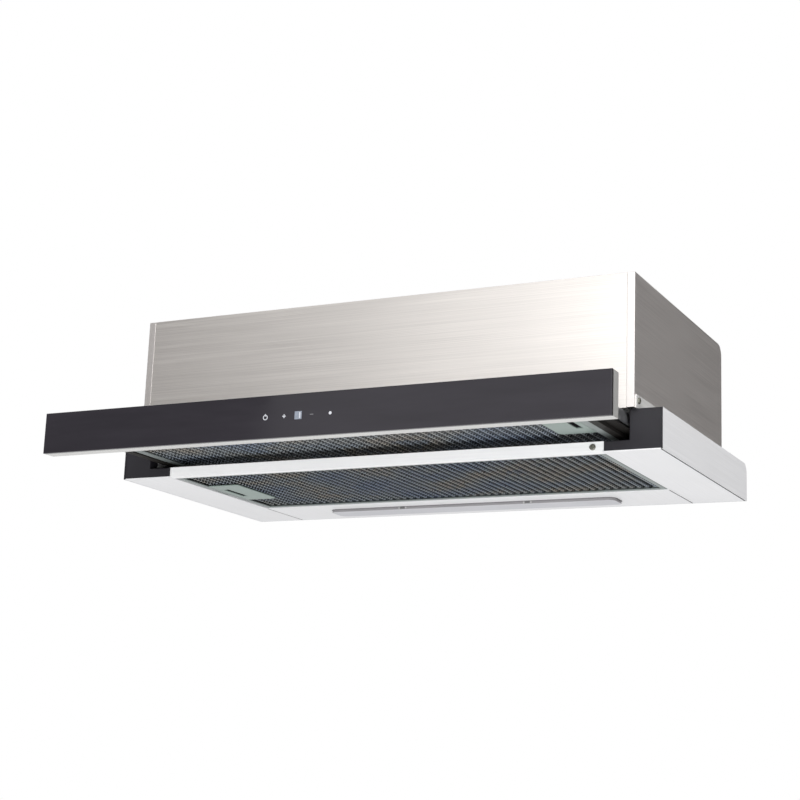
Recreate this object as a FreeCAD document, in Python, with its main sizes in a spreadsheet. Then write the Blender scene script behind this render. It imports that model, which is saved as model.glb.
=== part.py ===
"""Built-in telescopic range hood: a steel box over a slim canopy with a pull-out glass-fronted drawer.

Frame: +Z up, +X to the right of someone facing the hood, +Y towards the wall. The origin is the middle of
the canopy's rear lower edge, on the wall. All sizes are in millimetres. The drawer is drawn pulled out.
"""

import FreeCAD, Part
import Sketcher
import math
import os
import re

# Driving sizes, kept in the document's spreadsheet under these aliases.
SIZES = {
    # whole hood
    "width": 600.0,
    "depth": 285.0,
    "canopy_height": 39.5,
    "sheet": 1.0,
    "seam": 0.8,
    "hairline": 0.4,
    "clearance": 0.3,
    "overrun": 2.0,
    # upper box
    "box_inset": 25.0,
    "box_standoff": 7.0,
    "box_lead": 8.0,
    "box_height": 130.5,
    "box_flange": 7.5,
    "box_corner_radius": 12.0,
    "box_top_flange": 14.0,
    "panel_return": 10.0,
    "panel_drop": 0.5,
    # brackets that join the box to the canopy, with the screw holes for the cabinet
    "bracket_rise": 12.5,
    "bracket_setback": 3.0,
    "wall_drop": 25.5,
    "cabinet_hole_radius": 2.5,
    "cabinet_hole_setback": 60.0,
    "cabinet_hole_rear": 60.0,
    # canopy
    "trim_corner_radius": 10.0,
    "back_return": 14.0,
    "edge_flange_rise": 11.0,
    "cap_width": 57.5,
    "cap_depth": 14.0,
    "cap_lip": 10.5,
    "cap_notch": 32.5,
    "cap_wall": 2.0,
    "cap_round": 1.2,
    "rail_low": 0.2,
    "rail_high": 10.7,
    "rail_setback": 1.5,
    "rail_depth": 8.0,
    "rail_screw_inset": 11.2,
    # lamp
    "lamp_depth": 82.5,
    "lens_width": 345.0,
    "lens_front": 59.0,
    "lens_rear": 27.0,
    "lens_drop": 3.0,
    "lens_corner": 8.0,
    "lens_wall": 1.6,
    "lens_rim": 4.0,
    "lens_height": 9.0,
    "board_thickness": 1.6,
    "led_length": 5.0,
    "led_width": 3.0,
    "led_thickness": 0.8,
    "led_margin": 12.0,
    # grease filters
    "filter_gap": 2.2,
    "filter_rear_gap": 0.6,
    "filter_thickness": 9.0,
    "filter_low": 0.8,
    "frame_wall": 1.0,
    "lower_lip": 5.0,
    "upper_lip": 8.0,
    "mesh_thickness": 1.2,
    "mesh_strand": 2.0,
    "latch_width": 37.0,
    "latch_length": 83.0,
    "latch_slot_width": 6.5,
    "latch_slot_length": 42.0,
    "latch_slot_place": 6.0,
    "latch_travel": 5.0,
    "latch_corner": 5.0,
    "upper_latch_front": 29.5,
    "tongue_width": 22.0,
    "tongue_thickness": 1.4,
    "tongue_root": 4.0,
    "tongue_reach": 4.2,
    "keeper_room": 0.6,
    "tab_width": 18.0,
    "tab_place": 60.0,
    # drawer
    "drawer_out": 138.5,
    "glass_rise": 3.0,
    "glass_low": 1.5,
    "glass_thickness": 4.0,
    "glass_edge": 0.6,
    "carrier_depth": 12.5,
    "carrier_wall": 1.5,
    "closed_gap": 1.0,
    "drawer_drop": 23.5,
    "drawer_height": 19.5,
    "drawer_side_width": 8.3,
    "drawer_side_wall": 1.5,
    "drawer_skirt": 9.0,
    "skirt_rise": 4.0,
    "rear_bar_depth": 12.0,
    "upper_filter_lift": 1.0,
    "touch_board_width": 104.0,
    "touch_board_height": 26.0,
    "touch_board_place": 7.0,
    "display_width": 14.0,
    "display_height": 10.0,
    "display_place": 7.0,
    # telescopic slides
    "slide_space": 9.8,
    "slide_drop": 17.0,
    "slide_height": 15.0,
    "slide_thickness": 1.2,
    "slide_lip": 6.0,
    "slide_length": 180.0,
    # fan and motor
    "fan_offset": 40.0,
    "fan_growth": 7.0,
    "fan_wall": 2.0,
    "fan_width": 110.0,
    "fan_inlet_lip": 8.0,
    "fan_tongue": 6.0,
    "impeller_gap": 3.0,
    "impeller_end_gap": 5.0,
    "blade_depth": 7.0,
    "impeller_ring": 2.5,
    "impeller_lip": 1.5,
    "blade_inset": 1.0,
    "impeller_disc": 2.5,
    "blade_thickness": 1.0,
    "hub_radius": 9.0,
    "hub_length": 24.0,
    "shaft_radius": 4.0,
    "shaft_fit": 0.08,
    "shaft_tail": 16.0,
    "motor_radius": 32.0,
    "motor_length": 62.0,
    "motor_boss_radius": 12.0,
    "motor_boss_length": 5.0,
    "motor_bore_depth": 20.0,
    "motor_edge": 5.0,
    "bracket_stand": 24.0,
    "bracket_width": 36.0,
    "bracket_thickness": 2.0,
    "control_length": 130.0,
    "control_width": 84.0,
    "control_height": 38.0,
    "control_inset": 60.0,
    "control_setback": 26.0,
    "control_edge": 3.0,
    "capacitor_radius": 15.0,
    "capacitor_length": 52.0,
    "capacitor_rim": 1.5,
    # duct outlet
    "collar_radius": 60.0,
    "collar_wall": 1.5,
    "collar_height": 42.0,
    "collar_flange": 6.0,
    "collar_flange_thickness": 1.5,
    "collar_margin": 18.0,
    "outlet_inset": 10.0,
    "outlet_depth": 66.0,
    "damper_level": 14.0,
    "damper_thickness": 1.5,
    "damper_gap": 0.6,
    "damper_stop": 3.0,
    "damper_stop_thickness": 1.8,
    "damper_rest_gap": 0.3,
    "damper_pin_radius": 1.5,
    "knuckle_radius": 3.0,
    "knuckle_bore_fit": 0.08,
    "knuckle_length": 18.0,
    "knuckle_gap": 2.0,
    # cable gland
    "gland_radius": 9.0,
    "gland_hex_radius": 13.0,
    "gland_hex_height": 6.0,
    "gland_dome_height": 9.0,
    "gland_bore_radius": 4.0,
    "gland_inset": 60.0,
    "gland_setback": 38.0,
    # fasteners
    "screw_shank_radius": 1.9,
    "screw_hole_radius": 2.0,
    "screw_head_radius": 3.4,
    "screw_head_height": 1.8,
    "screw_length": 6.0,
    "screw_end_margin": 10.0,
    "flange_screw_rise": 7.4,
    "flange_screw_front": 1.4,
}
LED_COUNT = 14
BLADE_COUNT = 36
SIDE_SCREWS = 3
MESH_COLUMNS = 26
MESH_ROWS = 11
HEX_SIDES = 6
QUARTER_TURN = 90
FULL_TURN = 360
# Shares: the fan follows the box's height, and a mesh hole sits in the middle of its cell.
FAN_LEVEL_SHARE = 0.5
FAN_RADIUS_SHARE = 0.35
CELL_SHARE = 0.5

# Places that many pieces share, as expressions over the sheet.
HALF = "(width / 2)"
FRONT = "(-depth)"
BOX_HALF = "(width / 2 - box_inset)"
BOX_FRONT = "(-depth - box_lead)"
BOX_REAR = "(-box_standoff)"
BOX_TOP = "(canopy_height + box_height)"
CAP_REAR = "(-depth + cap_depth)"
NOTCH = "(width / 2 - cap_notch)"
LIP_END = "(width / 2 - cap_width)"
SKIN = "(width / 2 - sheet)"
OPEN_HALF = "(width / 2 - cap_width - sheet)"
LOWER_FILTER_HALF = "(width / 2 - cap_width - sheet - filter_gap)"
FILTER_DEPTH = "(depth - rail_setback - rail_depth - hairline - lamp_depth - filter_rear_gap)"
LENS_HALF = "(lens_width / 2)"
GLASS_FRONT = "(-depth - drawer_out)"
CARRIER_FRONT = "(-depth - drawer_out + glass_thickness)"
CARRIER_REAR = "(-depth - drawer_out + glass_thickness + carrier_depth)"
GLASS_TOP = "(canopy_height + glass_rise)"
TRAVEL = "(drawer_out - glass_thickness - carrier_depth - box_lead - closed_gap)"
LOWER_FILTER_FRONT = "(-depth + rail_setback + rail_depth + hairline)"
UPPER_FILTER_FRONT = "(-depth - drawer_out + glass_thickness + carrier_depth + hairline)"
DRAWER_LOW = "(canopy_height - drawer_drop)"
UPPER_FILTER_LOW = f"({DRAWER_LOW} + upper_filter_lift)"
DRAWER_REAR = f"({CARRIER_REAR} + 2 * hairline + {FILTER_DEPTH} + rear_bar_depth)"
DRAWER_SIDE_OUT = "(width / 2 - cap_notch - slide_space)"
DRAWER_SIDE = f"({DRAWER_SIDE_OUT} - drawer_side_width)"
UPPER_FILTER_HALF = f"({DRAWER_SIDE} - sheet - hairline)"
UPPER_LATCH_LEAD = f"({FILTER_DEPTH} / 2 - upper_latch_front - latch_length / 2)"
SLIDE_LOW = "(canopy_height - slide_drop)"
COLLAR_PLACE = "(box_standoff + collar_radius + collar_margin)"
DAMPER_AXIS = "(canopy_height + box_height + damper_level)"
FAN_PLACE = f"({COLLAR_PLACE} + fan_offset)"
FAN_LEVEL = f"(canopy_height + {FAN_LEVEL_SHARE} * box_height)"
FAN_RADIUS = f"({FAN_RADIUS_SHARE} * box_height)"
FAN_HALF = "(fan_width / 2)"
IMPELLER_RADIUS = f"({FAN_RADIUS} - impeller_gap)"
IMPELLER_INNER = f"({FAN_RADIUS} - impeller_gap - blade_depth)"
IMPELLER_HALF = "(fan_width / 2 - fan_wall - impeller_end_gap)"
GLAND_X = f"(-({BOX_HALF} - gland_inset))"
GLAND_Y = f"({BOX_REAR} - gland_setback)"

doc = FreeCAD.newDocument("range_hood")
sizes = doc.addObject("Spreadsheet::Sheet", "Sizes")
for row, (alias, value) in enumerate(SIZES.items(), start=1):
    sizes.set(f"A{row}", alias)
    sizes.set(f"B{row}", str(value))
    sizes.setAlias(f"B{row}", alias)
doc.recompute()

nodes = {}


# Helpers: expressions and primitives


def over_sheet(expression):
    """The expression with every alias written as a cell of the sheet."""
    return re.sub(r"[a-z][a-z_]*", lambda m: f"Sizes.{m[0]}" if m[0] in SIZES else m[0], expression)


def number(expression):
    """What the expression comes to now, for code that picks edges or starts a sketch."""
    return float(sizes.evalExpression(over_sheet(expression)))


def bind(obj, prop, expression):
    obj.setExpression(prop, over_sheet(expression))


def node(label, obj):
    """Names a finished sub-part: the label is its file's name."""
    obj.Label = label
    nodes[label] = obj
    return obj


def sided(side, low, high):
    """A stretch of X on the right (+1) as written, or mirrored to the left (-1)."""
    return (low, high) if side > 0 else (f"-({high})", f"-({low})")


def block(name, x, y, z):
    """A box between two corners, each axis as (low, high) expressions."""
    box = doc.addObject("Part::Box", name)
    for axis, prop, (low, high) in (("x", "Length", x), ("y", "Width", y), ("z", "Height", z)):
        bind(box, prop, f"({high}) - ({low})")
        bind(box, f"Placement.Base.{axis}", low)
    return box


TURNS = {
    "x": FreeCAD.Rotation(FreeCAD.Vector(0, 1, 0), 90),
    "y": FreeCAD.Rotation(FreeCAD.Vector(1, 0, 0), -90),
    "z": FreeCAD.Rotation(),
}


def rod(name, axis, start, radius, length):
    """A cylinder from a start point along +X, +Y or +Z."""
    cylinder = doc.addObject("Part::Cylinder", name)
    cylinder.Placement = FreeCAD.Placement(FreeCAD.Vector(), TURNS[axis])
    bind(cylinder, "Radius", radius)
    bind(cylinder, "Height", length)
    for letter, place in zip("xyz", start):
        bind(cylinder, f"Placement.Base.{letter}", place)
    return cylinder


def fuse(name, *shapes):
    if len(shapes) == 1:
        return shapes[0]
    joined = doc.addObject("Part::MultiFuse", name)
    joined.Shapes = list(shapes)
    joined.Refine = True
    return joined


def cut(name, base, *tools):
    cut_shape = doc.addObject("Part::Cut", name)
    cut_shape.Base = base
    cut_shape.Tool = fuse(f"{name}_tools", *tools)
    return cut_shape


def group(name, shapes):
    compound = doc.addObject("Part::Compound", name)
    compound.Links = shapes
    return compound


def mirrored(name, source):
    """The left-hand twin of a right-hand piece."""
    twin = doc.addObject("Part::Mirroring", name)
    twin.Source = source
    twin.Normal = FreeCAD.Vector(1, 0, 0)
    twin.Base = FreeCAD.Vector()
    return twin


# Helpers: sketched bodies


def new_body(name):
    return doc.addObject("PartDesign::Body", name)


def sketch_on(body, name, plane, offset):
    """An empty sketch on one of the body's origin planes, moved along that plane's normal."""
    sketch = body.newObject("Sketcher::SketchObject", name)
    role = {"XY": "XY_Plane", "XZ": "XZ_Plane", "YZ": "YZ_Plane"}[plane]
    support = next(f for f in body.Origin.OriginFeatures if f.Role == role)
    sketch.AttachmentSupport = [(support, "")]
    sketch.MapMode = "FlatFace"
    bind(sketch, "AttachmentOffset.Base.z", offset)
    return sketch


def pin_point(sketch, geometry, place, point):
    """Holds one sketch point at (x, y), both bound to the sheet."""
    for kind, expression in zip(("DistanceX", "DistanceY"), point):
        index = sketch.addConstraint(Sketcher.Constraint(kind, -1, 1, geometry, place, number(expression)))
        bind(sketch, f"Constraints[{index}]", expression)


def add_polygon(sketch, points):
    spots = [FreeCAD.Vector(number(x), number(y), 0) for x, y in points]
    first = sketch.GeometryCount
    count = len(points)
    for i in range(count):
        sketch.addGeometry(Part.LineSegment(spots[i], spots[(i + 1) % count]), False)
    for i in range(count):
        following = first + (i + 1) % count
        sketch.addConstraint(Sketcher.Constraint("Coincident", first + i, 2, following, 1))
        pin_point(sketch, first + i, 1, points[i])


def add_rectangle(sketch, x, y):
    add_polygon(sketch, [(x[0], y[0]), (x[1], y[0]), (x[1], y[1]), (x[0], y[1])])


def add_circle(sketch, centre, radius):
    spot = FreeCAD.Vector(number(centre[0]), number(centre[1]), 0)
    circle = sketch.addGeometry(Part.Circle(spot, FreeCAD.Vector(0, 0, 1), number(radius)), False)
    pin_point(sketch, circle, 3, centre)
    index = sketch.addConstraint(Sketcher.Constraint("Radius", circle, number(radius)))
    bind(sketch, f"Constraints[{index}]", radius)


def pad(body, sketch, length):
    feature = body.newObject("PartDesign::Pad", f"{sketch.Name}_pad")
    feature.Profile = sketch
    bind(feature, "Length", length)
    return feature


def pocket(body, sketch, length):
    """Cuts against the sketch plane's normal."""
    feature = body.newObject("PartDesign::Pocket", f"{sketch.Name}_pocket")
    feature.Profile = sketch
    bind(feature, "Length", length)
    return feature


def revolve(body, sketch):
    feature = body.newObject("PartDesign::Revolution", f"{sketch.Name}_turned")
    feature.Profile = sketch
    feature.ReferenceAxis = (sketch, ["V_Axis"])
    feature.Angle = FULL_TURN
    return feature


def edges_where(feature, tests):
    """Names of the edges whose every vertex passes one of the tests."""
    found = []
    for i, edge in enumerate(feature.Shape.Edges, start=1):
        if any(all(test(v.Point) for v in edge.Vertexes) for test in tests):
            found.append(f"Edge{i}")
    return found


def round_edges(body, feature, radius, *tests):
    doc.recompute()
    rounded = body.newObject("PartDesign::Fillet", f"{feature.Name}_round")
    rounded.Base = (feature, edges_where(feature, tests))
    bind(rounded, "Radius", radius)
    body.Tip = rounded
    return rounded


def rounded_slab(name, x, y, low, height, corner):
    """A block on the level low whose four upright edges are rounded."""
    body = new_body(name)
    outline = sketch_on(body, f"{name}_outline", "XY", low)
    add_rectangle(outline, x, y)
    slab = pad(body, outline, height)
    corners = [(across, along) for across in x for along in y]
    round_edges(body, slab, corner, *[
        lambda p, spot=spot: near(p.x, spot[0]) and near(p.y, spot[1]) for spot in corners])
    return body


def near(value, expression):
    return abs(value - number(expression)) < number("clearance")


def screw(name, axis, direction, seat):
    """A pan-head screw: the head stands outwards from its seat, the shank goes inwards."""
    letters = "xyz"
    along = letters.index(axis)
    head_start, shank_start = list(seat), list(seat)
    if direction > 0:
        shank_start[along] = f"({seat[along]}) - screw_length"
    else:
        head_start[along] = f"({seat[along]}) - screw_head_height"
    head = rod(f"{name}_head", axis, head_start, "screw_head_radius", "screw_head_height")
    shank = rod(f"{name}_shank", axis, shank_start, "screw_shank_radius", "screw_length")
    return fuse(name, head, shank)


def screw_hole(name, axis, seat, reach):
    """A clearance hole through a wall, centred on the seat and reaching both ways."""
    along = "xyz".index(axis)
    start = list(seat)
    start[along] = f"({seat[along]}) - ({reach})"
    return rod(name, axis, start, "screw_hole_radius", f"2 * ({reach})")


# Upper box


def side_screw_seats():
    """Seats of the screws through the right bracket's upright flange, front to rear."""
    first = f"{FRONT} + flange_screw_front"
    last = f"{BOX_REAR} - screw_end_margin"
    step = f"(({last}) - ({first})) / {SIDE_SCREWS - 1}"
    rise = "canopy_height + flange_screw_rise"
    return [(f"{BOX_HALF} + sheet", f"({first}) + {i} * {step}", rise) for i in range(SIDE_SCREWS)]


def cover_screw_seats():
    """Seats of the screws down through the right edge of the top cover."""
    first = f"{BOX_FRONT} + panel_return + screw_end_margin"
    last = f"{BOX_REAR} - box_corner_radius - screw_end_margin"
    step = f"(({last}) - ({first})) / {SIDE_SCREWS - 1}"
    across = f"{BOX_HALF} - sheet - box_top_flange / 2"
    return [(across, f"({first}) + {i} * {step}", BOX_TOP) for i in range(SIDE_SCREWS)]


def make_box_sides():
    """Side sheet with its rear top corner rounded, a flange to the front and one under the top cover."""
    body = new_body("side_sheet")
    wall = sketch_on(body, "side_wall", "YZ", f"{BOX_HALF} - sheet")
    add_rectangle(wall, (BOX_FRONT, BOX_REAR), ("canopy_height", BOX_TOP))
    wall_pad = pad(body, wall, "sheet")
    round_edges(body, wall_pad, "box_corner_radius",
                lambda p: near(p.y, BOX_REAR) and near(p.z, BOX_TOP))
    flange = sketch_on(body, "side_front_flange", "XZ", f"-({BOX_FRONT} + sheet)")
    add_rectangle(flange, (f"{BOX_HALF} - box_flange", f"{BOX_HALF} - sheet / 2"), ("canopy_height", BOX_TOP))
    pad(body, flange, "sheet")
    top = sketch_on(body, "side_top_flange", "XY", f"{BOX_TOP} - 2 * sheet")
    add_rectangle(top, (f"{BOX_HALF} - sheet - box_top_flange", f"{BOX_HALF} - sheet / 2"),
                  (f"{BOX_FRONT} + sheet + panel_return", f"{BOX_REAR} - box_corner_radius"))
    pad(body, top, "sheet")
    holes = [screw_hole(f"side_hole_{i}", "x", seat, "screw_length")
             for i, seat in enumerate(side_screw_seats())]
    holes += [screw_hole(f"side_top_hole_{i}", "z", seat, "screw_length")
              for i, seat in enumerate(cover_screw_seats())]
    right = node("box_side_right", cut("side_right", body, *holes))
    node("box_side_left", mirrored("side_left", right))


def make_box_front():
    """Front sheet between the two side flanges, with its lower edge folded back."""
    half = f"({BOX_HALF} - box_flange - hairline)"
    low = "(canopy_height - panel_drop)"
    across = (f"-{half}", half)
    face = block("front_face", across, (BOX_FRONT, f"{BOX_FRONT} + sheet"), (low, BOX_TOP))
    fold = block("front_fold", across, (BOX_FRONT, f"{BOX_FRONT} + panel_return"), (low, f"{low} + sheet"))
    node("box_front_panel", fuse("front_sheet", face, fold))


def make_cover():
    """Top and back in one bent sheet, with the fan's outlet, the cable gland's hole and screw holes."""
    body = new_body("cover_sheet")
    half = f"({BOX_HALF} - sheet)"
    profile = sketch_on(body, "cover_profile", "YZ", f"-{half}")
    add_polygon(profile, [
        (f"{BOX_FRONT} + sheet", BOX_TOP), (BOX_REAR, BOX_TOP), (BOX_REAR, "canopy_height"),
        (f"{BOX_REAR} - sheet", "canopy_height"), (f"{BOX_REAR} - sheet", f"{BOX_TOP} - sheet"),
        (f"{BOX_FRONT} + sheet", f"{BOX_TOP} - sheet")])
    bent = pad(body, profile, f"2 * {half}")
    outer = round_edges(body, bent, "box_corner_radius", lambda p: near(p.y, BOX_REAR) and near(p.z, BOX_TOP))
    round_edges(body, outer, "box_corner_radius - sheet",
                lambda p: near(p.y, f"{BOX_REAR} - sheet") and near(p.z, f"{BOX_TOP} - sheet"))
    holes = sketch_on(body, "cover_holes", "XY", f"{BOX_TOP} + overrun")
    outlet_half = "(collar_radius - outlet_inset)"
    add_rectangle(holes, (f"-{outlet_half}", outlet_half),
                  (f"-{COLLAR_PLACE} - outlet_depth / 2", f"-{COLLAR_PLACE} + outlet_depth / 2"))
    add_circle(holes, (GLAND_X, GLAND_Y), "gland_radius")
    for side in (1, -1):
        for across, along, _ in cover_screw_seats():
            add_circle(holes, (f"{side} * ({across})", along), "screw_hole_radius")
    pocket(body, holes, "sheet + 2 * overrun")
    node("top_and_back_cover", body)


# Canopy


def make_side_brackets():
    """Ledge under the cabinet, upright flange against the box, and the wall that carries a slide."""
    ledge = block("ledge", (NOTCH, SKIN), (CAP_REAR, "-back_return"),
                  ("canopy_height - sheet", "canopy_height"))
    upright = block("upright", (BOX_HALF, f"{BOX_HALF} + sheet"),
                    (f"{BOX_FRONT} + bracket_setback", BOX_REAR),
                    ("canopy_height", "canopy_height + bracket_rise"))
    joint = block("upright_foot", (BOX_HALF, f"{BOX_HALF} + sheet"), (CAP_REAR, "-back_return"),
                  ("canopy_height - sheet", "canopy_height + bracket_rise / 2"))
    wall = block("slide_wall", (NOTCH, f"{NOTCH} + sheet"), (CAP_REAR, f"{CAP_REAR} + slide_length"),
                 ("canopy_height - wall_drop", "canopy_height"))
    holes = [screw_hole(f"bracket_hole_{i}", "x", seat, "screw_length")
             for i, seat in enumerate(side_screw_seats())]
    across = f"({BOX_HALF} + sheet + {SKIN}) / 2"
    for end, place in (("front", f"{FRONT} + cabinet_hole_setback"), ("rear", "-cabinet_hole_rear")):
        holes.append(rod(f"cabinet_hole_{end}_cutter", "z",
                         (across, place, "canopy_height - sheet - overrun"),
                         "cabinet_hole_radius", "sheet + 2 * overrun"))
    right = cut("bracket_right", fuse("bracket_sheet", ledge, upright, joint, wall), *holes)
    node("side_bracket_right", right)
    node("side_bracket_left", mirrored("bracket_left", right))


def make_canopy_back():
    """Rear wall of the canopy, bent forward at the top to carry the box's back."""
    body = new_body("canopy_back_sheet")
    profile = sketch_on(body, "back_profile", "YZ", f"-{SKIN}")
    add_polygon(profile, [
        ("-back_return", "canopy_height"), ("0", "canopy_height"), ("0", "0"), ("-sheet", "0"),
        ("-sheet", "canopy_height - sheet"), ("-back_return", "canopy_height - sheet")])
    bent = pad(body, profile, f"2 * {SKIN}")
    outer = round_edges(body, bent, "trim_corner_radius",
                        lambda p: near(p.y, "0") and near(p.z, "canopy_height"))
    round_edges(body, outer, "trim_corner_radius - sheet",
                lambda p: near(p.y, "-sheet") and near(p.z, "canopy_height - sheet"))
    node("canopy_back", body)


def make_side_trims():
    """Bright outer skin of each side, with its rear top corner rounded."""
    body = new_body("trim_sheet")
    outline = sketch_on(body, "trim_outline", "YZ", SKIN)
    add_rectangle(outline, (FRONT, "0"), ("0", "canopy_height"))
    skin = pad(body, outline, "sheet")
    round_edges(body, skin, "trim_corner_radius", lambda p: near(p.y, "0") and near(p.z, "canopy_height"))
    node("side_trim_right", body)
    node("side_trim_left", mirrored("trim_left", body))


def make_corner_caps():
    """Black front cap: a hollow moulding with a notch that lets the drawer through above its lip."""
    body = new_body("cap_moulding")
    outline = sketch_on(body, "cap_outline", "XZ", f"-({CAP_REAR})")
    add_polygon(outline, [
        (LIP_END, "sheet"), (SKIN, "sheet"), (SKIN, "canopy_height"), (NOTCH, "canopy_height"),
        (NOTCH, "cap_lip"), (LIP_END, "cap_lip")])
    solid = pad(body, outline, "cap_depth")
    round_edges(body, solid, "cap_round",
                lambda p: near(p.y, FRONT) and (near(p.x, NOTCH) or near(p.x, LIP_END)))
    hollow = sketch_on(body, "cap_hollow", "XZ", f"-({FRONT} + cap_wall)")
    add_polygon(hollow, [
        (f"{LIP_END} + cap_wall", "sheet + cap_wall"), (f"{SKIN} - cap_wall", "sheet + cap_wall"),
        (f"{SKIN} - cap_wall", "canopy_height - cap_wall"),
        (f"{NOTCH} + cap_wall", "canopy_height - cap_wall"),
        (f"{NOTCH} + cap_wall", "cap_lip - cap_wall"), (f"{LIP_END} + cap_wall", "cap_lip - cap_wall")])
    pocket(body, hollow, "cap_depth")
    node("corner_cap_right", body)
    node("corner_cap_left", mirrored("cap_left", body))


def make_bottom_strips():
    """Bright strips under each side. Their inner flanges hold the filter: tabs right, latch left."""
    skin_inner = f"({SKIN} - seam)"
    floor = block("strip_floor", (OPEN_HALF, skin_inner), (FRONT, "-sheet"), ("0", "sheet"))
    inner = block("strip_inner", (OPEN_HALF, f"{OPEN_HALF} + sheet"), (CAP_REAR, "-lamp_depth"),
                  ("0", "sheet + edge_flange_rise"))
    outer = block("strip_outer", (f"{skin_inner} - sheet", skin_inner), (CAP_REAR, "-back_return"),
                  ("0", "canopy_height - sheet"))
    strip = fuse("strip_sheet", floor, inner, outer)
    middle = f"({LOWER_FILTER_FRONT} + {FILTER_DEPTH} / 2)"
    across = (f"{OPEN_HALF} - overrun", f"{OPEN_HALF} + sheet + overrun")
    level = filter_hook_level("filter_low")
    left_twin = mirrored("strip_left", strip)
    node("bottom_strip_right", cut("strip_right", strip, *[
        block(f"tab_slot_{i}", across, hook_span(f"{middle} + {side} * tab_place", "tab_width"), level)
        for i, side in enumerate((-1, 1))]))
    node("bottom_strip_left", cut("strip_left_cut", left_twin, block(
        "latch_slot", sided(-1, *across), hook_span(middle, "tongue_width"), level)))


def hook_span(middle, length):
    """The stretch of Y that a keeper slot leaves around a tongue or tab."""
    return (f"{middle} - {length} / 2 - keeper_room", f"{middle} + {length} / 2 + keeper_room")


def filter_hook_level(low):
    """The stretch of Z that a keeper slot leaves around a filter's tongue and tabs."""
    base = f"({low} + frame_wall)"
    return (f"{base} - keeper_room", f"{base} + tongue_thickness + keeper_room")


def make_front_rail():
    """Bright cross rail between the caps, a channel open to the rear."""
    half = f"({LIP_END} - clearance)"
    across = (f"-{half}", half)
    front = f"({FRONT} + rail_setback)"
    solid = block("rail_solid", across, (front, f"{front} + rail_depth"), ("rail_low", "rail_high"))
    hollow = block("rail_hollow", (f"-{half} - overrun", f"{half} + overrun"),
                   (f"{front} + sheet", f"{front} + rail_depth + overrun"),
                   ("rail_low + sheet", "rail_high - sheet"))
    seat = (f"{LIP_END} - rail_screw_inset", front, "(rail_low + rail_high) / 2")
    hole = screw_hole("rail_hole", "y", seat, "sheet + overrun")
    node("front_rail", cut("rail", solid, hollow, hole))
    node("rail_screw", screw("rail_fixing", "y", -1, seat))


# Lamp


def make_lamp():
    """Rear bottom panel, its frosted lens tray proud below it, and the LED board that closes the tray."""
    half = f"({OPEN_HALF} - hairline)"
    plate = block("lamp_plate", (f"-{half}", half), ("-lamp_depth", "-sheet"), ("0", "sheet"))
    lip = block("lamp_lip", (f"-{half}", half), ("-lamp_depth", "-lamp_depth + sheet"),
                ("0", "sheet + edge_flange_rise"))
    window = rounded_slab("lamp_window", (f"-{LENS_HALF}", LENS_HALF), ("-lens_front", "-lens_rear"),
                          "-overrun", "sheet + 2 * overrun", "lens_corner")
    node("lamp_panel", cut("lamp_sheet", fuse("lamp_folded", plate, lip), window))

    lens_x = (f"-{LENS_HALF} + hairline", f"{LENS_HALF} - hairline")
    lens_y = ("-lens_front + hairline", "-lens_rear - hairline")
    shell = rounded_slab("lens_shell", lens_x, lens_y, "-lens_drop", "lens_height + lens_drop",
                         "lens_corner - hairline")
    rim = block("lens_seat", (f"-{LENS_HALF} - lens_rim", f"{LENS_HALF} + lens_rim"),
                ("-lens_front - lens_rim", "-lens_rear + lens_rim"), ("sheet", "sheet + lens_wall"))
    hollow = rounded_slab("lens_hollow", (f"{lens_x[0]} + lens_wall", f"{lens_x[1]} - lens_wall"),
                          (f"{lens_y[0]} + lens_wall", f"{lens_y[1]} - lens_wall"), "lens_wall - lens_drop",
                          "lens_height + lens_drop", "lens_corner - hairline - lens_wall")
    node("lamp_lens", cut("lens_tray", fuse("lens_solid", shell, rim), hollow))

    node("led_board", block("led_strip", lens_x, lens_y, ("lens_height", "lens_height + board_thickness")))
    middle = "(-(lens_front + lens_rear) / 2)"
    step = f"(2 * ({LENS_HALF} - led_margin) / {LED_COUNT - 1})"
    chips = []
    for i in range(LED_COUNT):
        centre = f"(-{LENS_HALF} + led_margin + {i} * {step})"
        chips.append(block(f"led_{i}", (f"{centre} - led_length / 2", f"{centre} + led_length / 2"),
                           (f"{middle} - led_width / 2", f"{middle} + led_width / 2"),
                           ("lens_height - led_thickness", "lens_height")))
    node("led_chips", group("led_row", chips))


# Grease filters


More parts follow.
